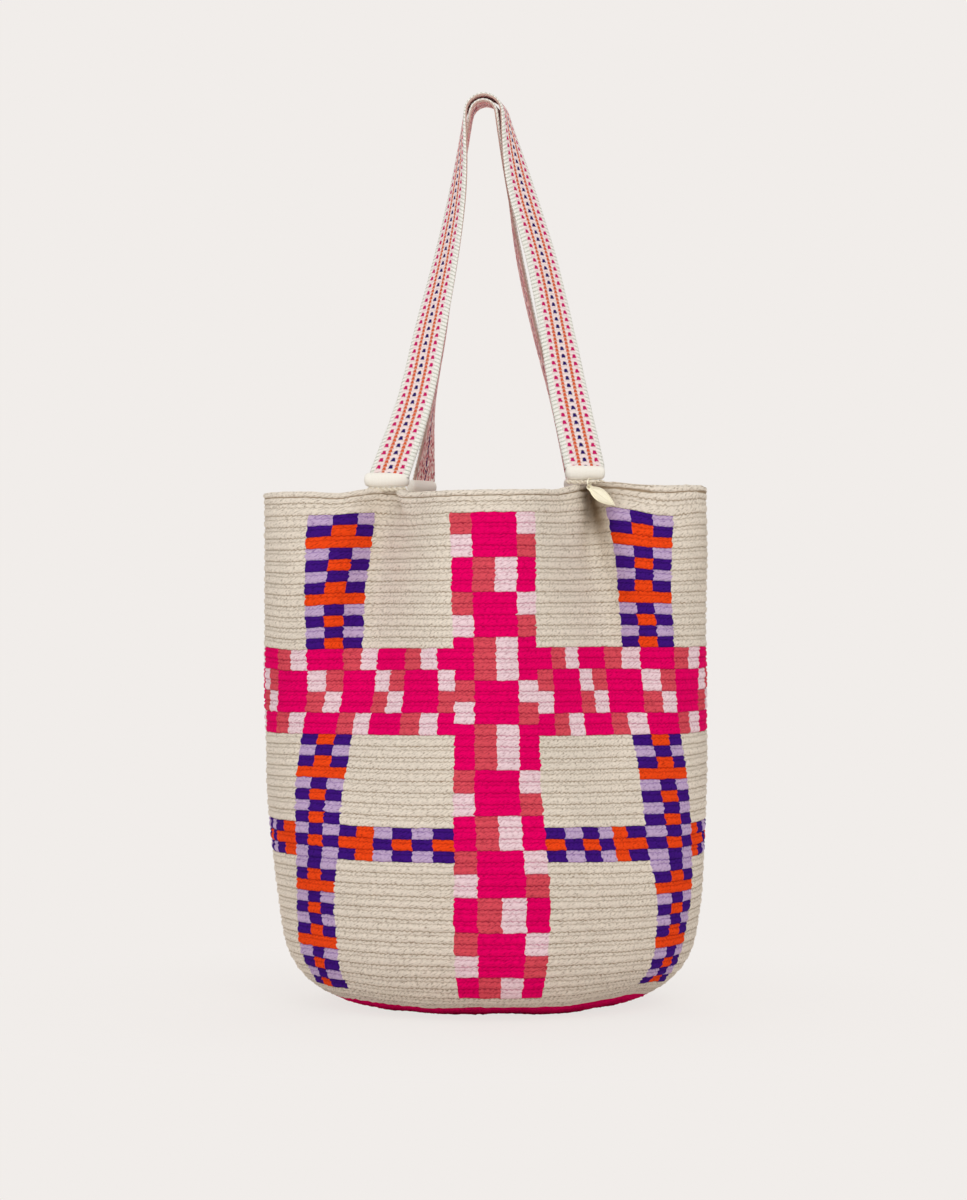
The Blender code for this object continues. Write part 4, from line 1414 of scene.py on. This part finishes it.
@dataclass
class Strap:
    """One woven band from a strap end over the peg to the other."""

    name: str
    work: StrapWork
    left: Foot
    right: Foot
    radius: float
    finer: int = 22                     # rings to each station, so that the selvedge can scallop
    rib: float = 2.3 * MM
    scallop: float = 0.22 * MM
    rings_a_rib: int = 3
    scallop_power: int = 8              # how close to the edge the scallops keep
    pattern_shift: float = 0.6          # of the floats towards the outer edge, in millimetres
    relaxed: int = 2                    # how often the way from leg to arch is smoothed
    face_reach: float = 0.93            # share of the half width that is flat
    face_columns: int = 15
    face_rise: float = 0.98
    face_fall: float = 0.10             # how much thinner the band is towards its edges
    face_power: int = 6                 # how close to the edges that begins
    level_from: float = 12.0 * MM       # from the top, where the floats begin to lie level
    level_over: float = 40.0 * MM
    least_steep: float = 0.3

    def leg(self, foot: Foot) -> list[tuple[Vector, Vector]]:
        """Return one leg from the rim up, as centre points and width directions.

        Args:
            foot: The strap end that it starts from.

        Returns:
            The leg's stations.
        """
        work = self.work
        bottom = Vector((foot.x, foot.y, work.wrap_bottom(foot) + work.wrap_height - work.tucked_in))
        top = Vector((work.arch_x + foot.side * self.radius, 0.0, work.top - work.arch_radius))
        stations = []
        for index in range(work.leg_steps):
            share = index / work.leg_steps
            place = bottom.lerp(top, share)
            place.x += foot.side * ease_through(foot.bows, share) * MM
            stations.append((place, foot.strap_across(share)))
        return stations

    def stations(self) -> list[tuple[Vector, Vector]]:
        """Return the whole centre line with its width directions, legs eased into the arch.

        Returns:
            The stations from the left strap end to the right one.
        """
        work = self.work
        line = self.leg(self.left)
        for index in range(work.arch_steps + 1):
            angle = math.pi * (1.0 - index / work.arch_steps)
            place = Vector((work.arch_x + math.cos(angle) * self.radius, 0.0,
                            work.top - work.arch_radius + math.sin(angle) * self.radius))
            width = self.left.strap_across(1.0).lerp(self.right.strap_across(1.0), index / work.arch_steps)
            line.append((place, width.normalized()))
        line += reversed(self.leg(self.right))
        for _ in range(self.relaxed):
            inner = [((before[0] + here[0] * 2.0 + after[0]) / 4.0,
                      ((before[1] + here[1] * 2.0 + after[1]) / 4.0).normalized())
                     for before, here, after in zip(line, line[1:], line[2:])]
            line = [line[0], *inner, line[-1]]
        return line

    def smooth_line(self) -> tuple[np.ndarray, np.ndarray, np.ndarray]:
        """Return finer centre points and widths through the stations, and the arc length.

        Returns:
            Points, width directions and the distance along, evenly spaced.
        """
        line = self.stations()
        coarse = np.array([[*place, *width] for place, width in line])
        padded = np.vstack([2 * coarse[0] - coarse[1], coarse, 2 * coarse[-1] - coarse[-2]])
        fine = [between(padded[index:index + 4], step / self.finer)
                for index in range(len(padded) - 3) for step in range(self.finer)]
        fine = np.array([*fine, coarse[-1]])
        arc = np.concatenate([[0.0], np.cumsum(np.linalg.norm(np.diff(fine[:, :3], axis=0), axis=1))])
        count = int(arc[-1] / (self.rib / self.rings_a_rib))
        even = np.linspace(0.0, arc[-1], count + 1)
        points = np.stack([np.interp(even, arc, fine[:, axis]) for axis in range(6)], axis=1)
        return points[:, :3], points[:, 3:], even

    def section(self) -> tuple[np.ndarray, np.ndarray, int]:
        """Return the band's section.

        Returns:
            Places across and through the band, and how many of the columns are its outer face.
        """
        half, skin = self.work.width / 2, self.work.thickness / 2
        face = np.linspace(-self.face_reach, self.face_reach, self.face_columns)
        outer = [(s, self.face_rise - self.face_fall * abs(s) ** self.face_power) for s in face]
        points = [(-1.0, 0.0)] + outer + [(1.0, 0.0)] + [(s, -t) for s, t in reversed(outer)]
        across = np.array([p[0] for p in points]) * half
        through = np.array([p[1] for p in points]) * skin
        return across, through, len(outer) + 1

    def build(self, face: bpy.types.Material, reverse: bpy.types.Material, node: str) -> None:
        """Build the band and put it in its node's place.

        Args:
            face: The finish of its outer face.
            reverse: The finish of its inner face.
            node: The CAD node that it stands for.
        """
        points, widths, even = self.smooth_line()
        along = np.gradient(points, axis=0)
        along[0], along[-1] = (0.0, 0.0, 1.0), (0.0, 0.0, -1.0)
        along /= np.linalg.norm(along, axis=1)[:, None]
        widths = widths - along * np.sum(widths * along, axis=1)[:, None]
        widths /= np.linalg.norm(widths, axis=1)[:, None]
        outwards = np.cross(widths, along)
        across, through, outer_columns = self.section()
        deep = self.scallop * (np.abs(across) / (self.work.width / 2)) ** self.scallop_power
        wave = np.cos(FULL_TURN * even / self.rib)[:, None] * deep[None, :]
        reach = across[None, :] + np.sign(across)[None, :] * (wave - deep[None, :])
        rings = (points[:, None, :] + widths[:, None, :] * reach[:, :, None]
                 + outwards[:, None, :] * through[None, :, None])
        closing = np.append(across, across[0]) / MM
        half_way = even[-1] / 2
        leg = np.where(even < half_way, even, even[-1] - even)
        steep = np.clip((half_way - self.level_from - leg) / self.level_over, 0.0, 1.0)
        level = steep * widths[:, 2] / np.maximum(np.abs(along[:, 2]), self.least_steep)
        u = np.repeat(closing[None, :] + self.pattern_shift, len(leg), axis=0)
        v = (leg / MM)[:, None] + level[:, None] * closing[None, :]
        uv = np.stack([u, v], axis=-1)

        def dress(mesh: bpy.types.Mesh, row: np.ndarray, column: np.ndarray) -> None:
            """Give the band's inner face the reverse finish.

            Args:
                mesh: The unmerged band.
                row: Each vertex's row; not used.
                column: Each vertex's column.
            """
            corner = np.empty(len(mesh.loops), dtype=int)
            mesh.loops.foreach_get("vertex_index", corner)
            first = column[corner.reshape(-1, 4)].min(axis=1)
            mesh.polygons.foreach_set("material_index", (first >= outer_columns).astype(np.int32))

        piece = finish_piece(self.name, wrap_rings(rings, uv, dress=dress), face, reverse)
        install(piece, "bag", node)


@dataclass
class StrapEnd:
    """A rolled strap end and the twisted yarn that lashes it to the rim."""

    work: StrapWork
    foot: Foot
    around: int = 40
    dome_share: float = 0.38            # length of a rounded end, of the roll's height
    dome_steps: int = 10
    dome_arc: tuple[float, float] = (4.0, 86.0)         # degrees from its tip to the roll
    dome_fullness: float = 0.65
    middle_share: float = 0.6           # of the half length that the even middle takes up
    middle_steps: int = 9
    plump: float = 0.02                 # how much thicker the roll's middle is
    plump_arc: float = 2.4
    girth: float = 0.985                # mean size of its section, of the roll's height and depth
    sag: float = 0.02                   # how far it is out of round
    sag_turn: float = 260.0             # how much that turns for each metre along
    round_mm: float = 4.2               # its mean radius
    strand_twists: float = 3.5
    strand_steps: int = 61
    strand_around: int = 10
    strand_offset: float = 0.92         # of a strand's radius from the lashing's middle

    def build_wrap(self, cotton: bpy.types.Material) -> None:
        """Build the padded roll, plump in the middle with rounded ends.

        Args:
            cotton: The roll's finish.
        """
        work = self.work
        frame = self.foot.matrix(work.wrap_bottom(self.foot) + work.wrap_height / 2)
        half, dome = work.wrap_length / 2 - self.foot.shorter, work.wrap_height * self.dome_share
        ends = [(-half + dome * (1.0 - math.cos(angle)), math.sin(angle) ** self.dome_fullness)
                for angle in map(math.radians, np.linspace(*self.dome_arc, self.dome_steps))]
        middle = [(half * share, 1.0 + self.plump * math.cos(share * self.plump_arc))
                  for share in np.linspace(-self.middle_share, self.middle_share, self.middle_steps)]
        profile = ends + middle + [(-x, size) for x, size in reversed(ends)]
        turn = np.linspace(0.0, FULL_TURN, self.around, endpoint=False)
        rings = []
        for x, size in profile:
            sag = self.girth + self.sag * np.sin(turn * 2 + x * self.sag_turn)
            local = np.stack([np.full_like(turn, x), np.cos(turn) * work.wrap_depth / 2 * size * sag,
                              np.sin(turn) * work.wrap_height / 2 * size * sag], axis=1)
            rings.append([frame @ Vector(place) for place in local])
        rings = np.array(rings)
        round_mm = np.linspace(0.0, FULL_TURN * self.round_mm, self.around + 1)
        long_mm = np.array([x for x, _ in profile]) / MM
        uv = np.stack(np.meshgrid(round_mm, long_mm), axis=-1)
        node = "end_wrap_" + self.foot.name
        piece = finish_piece("rolled_end_" + self.foot.name, wrap_rings(rings, uv), cotton)
        install(piece, "bag", node)

    def build_lashing(self, yarn: bpy.types.Material) -> None:
        """Build the two strands that twist round each other.

        Args:
            yarn: The lashing's finish.
        """
        work = self.work
        frame = self.foot.matrix(work.lash_height(self.foot))
        strand = work.lash_diameter / 4 * work.lash_plump
        offset = strand * self.strand_offset
        share = np.linspace(0.0, 1.0, self.strand_steps)
        bm = bmesh.new()
        for phase in (0.0, math.pi):
            angle = FULL_TURN * self.strand_twists * share + phase
            local = np.stack([mix(-work.lash_length / 2, work.lash_length / 2, share),
                              np.cos(angle) * offset, np.sin(angle) * offset], axis=1)
            route = np.array([frame @ Vector(place) for place in local])
            add_bmesh(bm, tube_along(route, strand, self.strand_around))
        piece = finish_piece("twisted_lashing_" + self.foot.name, bm, yarn)
        install(piece, "bag", "lashing_" + self.foot.name)


@dataclass
class Charm:
    """The leaf charm: its yarn loop, its jump ring and the leaf."""

    work: StrapWork
    turn: float = math.radians(-25)
    x: float = 64.6 * MM
    reach: float = 9.5 * MM
    yarn_radius: float = 0.8 * MM
    loop_inner: float = 4.2 * MM
    ring_radius: float = 2.6 * MM
    wire_radius: float = 0.45 * MM
    leaf_length: float = 21.3 * MM
    leaf_width: float = 7.2 * MM
    leaf_thickness: float = 0.8 * MM
    eye_radius: float = 1.7 * MM
    hole_radius: float = 0.8 * MM
    leaf_drop: float = math.radians(34)
    bend_share: float = 2.2             # radius of the yarn's bends, of its own radius
    bend_steps: int = 8
    leg_places: tuple[float, ...] = (0.0, 0.25, 0.5)    # of the loop's legs, in bends from the lashing
    yarn_around: int = 14
    wire_around: int = 16
    ring_steps: int = 64
    hole_steps: int = 20
    leaf_steps: int = 26
    eye_steps: int = 9
    eye_end: float = 76.0               # degrees from the tip's direction where the blade begins
    neck_place: float = 0.85            # where the blade begins, and its width there, in eye radii
    neck_width: float = 0.75
    blade_skew: float = 0.85            # below 1 moves the widest place towards the eye
    blade_fullness: float = 0.9
    spine_from: float = 1.3             # in eye radii
    spine_to: float = 0.93              # of the leaf's length
    spine_steps: int = 24
    # Raised lines along the leaf's edge: how far inside it, and their radius
    rims: tuple[tuple[float, float], ...] = ((0.35 * MM, 0.34 * MM), (1.35 * MM, 0.20 * MM))
    spine_radius: float = 0.22 * MM
    line_around: int = 8

    @property
    def frame(self) -> Matrix:
        """Return the transform from the charm's own axes, its bar along X, to the bag."""
        place = Vector((self.x, FRONT_RIGHT.y - self.reach, self.work.lash_height(FRONT_RIGHT)))
        return Matrix.Translation(place) @ Matrix.Rotation(self.turn, 4, "Z")

    @property
    def ring_drop(self) -> float:
        """Return how far the ring's centre hangs below the loop's bar."""
        return self.ring_radius - self.wire_radius - self.yarn_radius - self.work.clearance

    def build_loop(self, yarn: bpy.types.Material) -> None:
        """Build the yarn loop that reaches forward from the lashing.

        Args:
            yarn: The loop's finish.
        """
        frame = self.frame
        half = self.loop_inner / 2 + self.yarn_radius
        bend = self.yarn_radius * self.bend_share
        lash = FRONT_RIGHT.matrix(self.work.lash_height(FRONT_RIGHT))
        lash_side = self.work.lash_diameter / 2 + self.work.clearance
        straight = lash.inverted() @ Vector((self.x, FRONT_RIGHT.y, frame.translation.z))
        route: list[Vector] = []
        for side in (-1, 1):
            leg = [lash @ Vector((straight.x + side * half, -lash_side - bend * back, 0.0))
                   for back in self.leg_places]
            for step in range(self.bend_steps + 1):
                angle = math.pi / 2 * step / self.bend_steps
                leg.append(frame @ Vector((side * (half - bend * (1.0 - math.cos(angle))),
                                           bend * (1.0 - math.sin(angle)), 0.0)))
            route += leg if side < 0 else list(reversed(leg))
        bm = tube_along(np.array([tuple(place) for place in route]), self.yarn_radius, self.yarn_around)
        install(finish_piece("charm_yarn_loop", bm, yarn), "bag", "charm_loop")

    def build_ring(self, gold: bpy.types.Material) -> None:
        """Build the jump ring by spinning its wire's section.

        Args:
            gold: The ring's finish.
        """
        bm = bmesh.new()
        bmesh.ops.create_circle(bm, segments=self.wire_around, radius=self.wire_radius,
                                matrix=Matrix.Translation((0.0, self.ring_radius, 0.0)))
        bmesh.ops.spin(bm, geom=bm.verts[:] + bm.edges[:], cent=(0.0, 0.0, 0.0), axis=(1.0, 0.0, 0.0),
                       dvec=(0.0, 0.0, 0.0), angle=FULL_TURN, steps=self.ring_steps, use_merge=True)
        bm.transform(self.frame @ Matrix.Translation((0.0, 0.0, -self.ring_drop)))
        install(finish_piece("gold_jump_ring", bm, gold), "charm_ring", "charm_ring")

    def leaf_edge(self, inset: float) -> list[tuple[float, float]]:
        """Return the leaf's outline, from its eye out to the tip and back.

        Args:
            inset: How far inside the edge the outline runs.

        Returns:
            Its points in the leaf's own plane.
        """
        neck = self.eye_radius * self.neck_place
        eye = self.eye_radius - inset
        upper = [(eye * math.cos(angle), eye * math.sin(angle))
                 for angle in map(math.radians, np.linspace(180.0, self.eye_end, self.eye_steps))]
        blade = self.leaf_length - neck
        for step in range(1, self.leaf_steps + 1):
            share = step / self.leaf_steps
            wide = math.sin(math.pi * share ** self.blade_skew) ** self.blade_fullness
            half = self.leaf_width / 2 * wide + self.eye_radius * self.neck_width * (1.0 - share) ** 2
            upper.append((neck + blade * share, max(half - inset, 0.0)))
        upper[-1] = (self.leaf_length - inset * 2.0, 0.0)
        return upper + [(x, -y) for x, y in reversed(upper[1:-1])]

    def build_leaf(self, gold: bpy.types.Material) -> None:
        """Build the leaf with its raised rim, inner line and midrib.

        Args:
            gold: The leaf's finish.
        """
        place = (self.frame @ Matrix.Translation((0.0, 0.0, -self.ring_drop - self.ring_radius))
                 @ Matrix.Rotation(self.leaf_drop, 4, "Y"))
        turns = np.linspace(0.0, FULL_TURN, self.hole_steps, endpoint=False)
        hole = [(self.hole_radius * math.cos(angle), self.hole_radius * math.sin(angle)) for angle in turns]
        bm = bmesh.new()
        for loop in (self.leaf_edge(0.0), hole):
            verts = [bm.verts.new((x, -self.leaf_thickness / 2, z)) for x, z in loop]
            for first, second in zip(verts, verts[1:] + verts[:1]):
                bm.edges.new((first, second))
        bmesh.ops.triangle_fill(bm, edges=bm.edges[:], use_beauty=True)
        pushed = bmesh.ops.extrude_face_region(bm, geom=bm.faces[:], use_keep_orig=True)
        moved = [item for item in pushed["geom"] if isinstance(item, bmesh.types.BMVert)]
        bmesh.ops.translate(bm, verts=moved, vec=(0.0, self.leaf_thickness, 0.0))
        spine = [(x, 0.0) for x in np.linspace(
            self.eye_radius * self.spine_from, self.leaf_length * self.spine_to, self.spine_steps)]
        lines = [(self.leaf_edge(inset), radius, True) for inset, radius in self.rims]
        lines.append((spine, self.spine_radius, False))
        through = Vector((0.0, 1.0, 0.0))
        for line, radius, closed in lines:
            for front in (-1.0, 1.0):
                route = np.array([(x, front * self.leaf_thickness / 2, z) for x, z in line])
                add_bmesh(bm, tube_along(route, radius, self.line_around, closed, through))
        bm.transform(place)
        piece = finish_piece("gold_leaf", bm, gold, sharp=35.0)
        install(piece, "charm_leaf", "charm_leaf")


# The studio

@dataclass(frozen=True)
class Lamp:
    """A square area lamp."""

    name: str
    place: tuple[float, float, float]
    size: float
    watts: float
    colour: tuple[float, float, float]

    def stand(self, aim: tuple[float, float, float]) -> None:
        """Stand the lamp in its place, facing a point.

        Args:
            aim: The point.
        """
        data = bpy.data.lights.new(self.name, "AREA")
        data.size = self.size
        data.energy = self.watts
        data.color = self.colour
        lamp = bpy.data.objects.new(self.name, data)
        towards = (Vector(aim) - Vector(self.place)).to_track_quat("-Z", "Y")
        lamp.matrix_world = Matrix.Translation(self.place) @ towards.to_matrix().to_4x4()
        bpy.context.scene.collection.objects.link(lamp)


@dataclass
class Studio:
    """A pale floor and backdrop, a large key lamp high in front, a low one to the left and one behind."""

    backdrop: str = "#F1EDEA"
    room_colour: tuple[float, float, float, float] = (1.0, 0.985, 0.965, 1.0)
    room_strength: float = 0.62
    camera_place: tuple[float, float, float] = (-0.0016, -2.0, 0.242)
    lens: float = 93.02
    sensor: float = 36.0
    shift_y: float = 25.0 / 1200.0
    floor_size: float = 40.0
    fade_from: float = 0.10             # from the bag's middle, where the floor begins to fade
    fade_to: float = 0.36
    faded: float = 0.86                 # how much of the floor is the backdrop's colour under the bag
    aim: tuple[float, float, float] = (0.0, 0.0, 0.25)
    lamps: tuple[Lamp, ...] = (
        Lamp("key_lamp", (0.6, -2.2, 1.9), 1.6, 25.0, (1.0, 0.98, 0.96)),
        Lamp("fill_lamp", (-2.2, -1.1, 0.7), 1.8, 11.0, (0.98, 0.98, 1.0)),
        Lamp("back_lamp", (0.2, 2.0, 1.6), 1.6, 14.0, (1.0, 0.99, 0.97)))

    def seen_directly(self, tree: bpy.types.NodeTree) -> bpy.types.NodeSocket:
        """Return 1 for camera, glossy and transmission rays.

        Args:
            tree: The node tree.

        Returns:
            The socket that says so.
        """
        seen = add_node(tree, "ShaderNodeLightPath", out="Is Camera Ray")
        rays = seen.node.outputs
        for kind in ("Is Glossy Ray", "Is Transmission Ray"):
            seen = add_node(tree, MATH, (seen, rays[kind]), operation="MAXIMUM")
        return seen

    def build_world(self) -> None:
        """Light the room evenly and show the backdrop's colour behind everything."""
        world = bpy.data.worlds.new("studio_world")
        bpy.context.scene.world = world
        world.use_nodes = True
        tree = world.node_tree
        tree.nodes.clear()
        room, backdrop = (
            add_node(tree, "ShaderNodeBackground", {"Color": colour, "Strength": strength})
            for colour, strength in ((self.room_colour, self.room_strength), (linear(self.backdrop), 1.0)))
        mixed = add_node(tree, "ShaderNodeMixShader", (self.seen_directly(tree), room, backdrop))
        add_node(tree, "ShaderNodeOutputWorld", {"Surface": mixed})

    def build_floor(self) -> None:
        """Lay a plain floor that keeps the bag's shadow and fades into the backdrop."""
        bm = bmesh.new()
        bmesh.ops.create_grid(bm, x_segments=1, y_segments=1, size=self.floor_size / 2)
        material, tree, _ = new_material("matt_pale_floor")
        tree.nodes.clear()
        plain = add_node(tree, "ShaderNodeBsdfDiffuse", {"Color": linear(self.backdrop)})
        glow = add_node(tree, "ShaderNodeEmission", {"Color": linear(self.backdrop), "Strength": 1.0})
        place = add_node(tree, "ShaderNodeTexCoord", out="Object")
        away = add_node(tree, "ShaderNodeVectorMath", (place,), "Value", operation="LENGTH")
        fade = add_node(tree, "ShaderNodeMapRange", {
            "Value": away, "From Min": self.fade_from, "From Max": self.fade_to, "To Min": self.faded,
            "To Max": 1.0}, interpolation_type="SMOOTHSTEP")
        share = add_node(tree, MATH, (fade, self.seen_directly(tree)), operation="MULTIPLY")
        mixed = add_node(tree, "ShaderNodeMixShader", (share, plain, glow))
        add_node(tree, "ShaderNodeOutputMaterial", {"Surface": mixed})
        finish_piece("studio_floor", bm, material)

    def build_camera(self) -> None:
        """Stand the camera in front of the bag, level with its middle."""
        data = bpy.data.cameras.new("photo_camera")
        data.sensor_width = self.sensor
        data.lens = self.lens
        data.shift_y = self.shift_y
        camera = bpy.data.objects.new("photo_camera", data)
        camera.location = self.camera_place
        camera.rotation_euler = (math.pi / 2, 0.0, 0.0)
        bpy.context.scene.collection.objects.link(camera)
        bpy.context.scene.camera = camera


def main() -> None:
    """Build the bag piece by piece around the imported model."""
    logging.basicConfig(level=logging.INFO, format="%(name)s: %(message)s")
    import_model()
    studio = Studio()
    studio.build_camera()
    shape = BagShape()
    CrochetBody(shape, Plaid()).build(CrochetCotton().material())
    work = StrapWork(shape)
    face, reverse = WovenWebbing().material(), WebbingReverse().material()
    outer = work.arch_radius - work.thickness / 2
    inner = outer - work.thickness - work.gap
    Strap("front_strap_band", work, FRONT_LEFT, FRONT_RIGHT, outer).build(face, reverse, "strap_front")
    Strap("back_strap_band", work, BACK_LEFT, BACK_RIGHT, inner).build(face, reverse, "strap_back")
    roll_cotton = SoftCottonYarn("wound_cotton_roll", ply_depth=0.12).material()
    yarn = SoftCottonYarn("twisted_cotton_yarn", colour="#F1E9D9", ply_slant=math.radians(35)).material()
    for foot in FEET:
        end = StrapEnd(work, foot)
        end.build_wrap(roll_cotton)
        end.build_lashing(yarn)
    gold = PaleGold().material()
    charm = Charm(work)
    charm.build_loop(yarn)
    charm.build_ring(gold)
    charm.build_leaf(gold)
    studio.build_world()
    studio.build_floor()
    for lamp in studio.lamps:
        lamp.stand(studio.aim)
    bpy.context.scene.view_settings.view_transform = "Standard"
    LOG.info("sizes written")


if __name__ == "__main__":
    main()
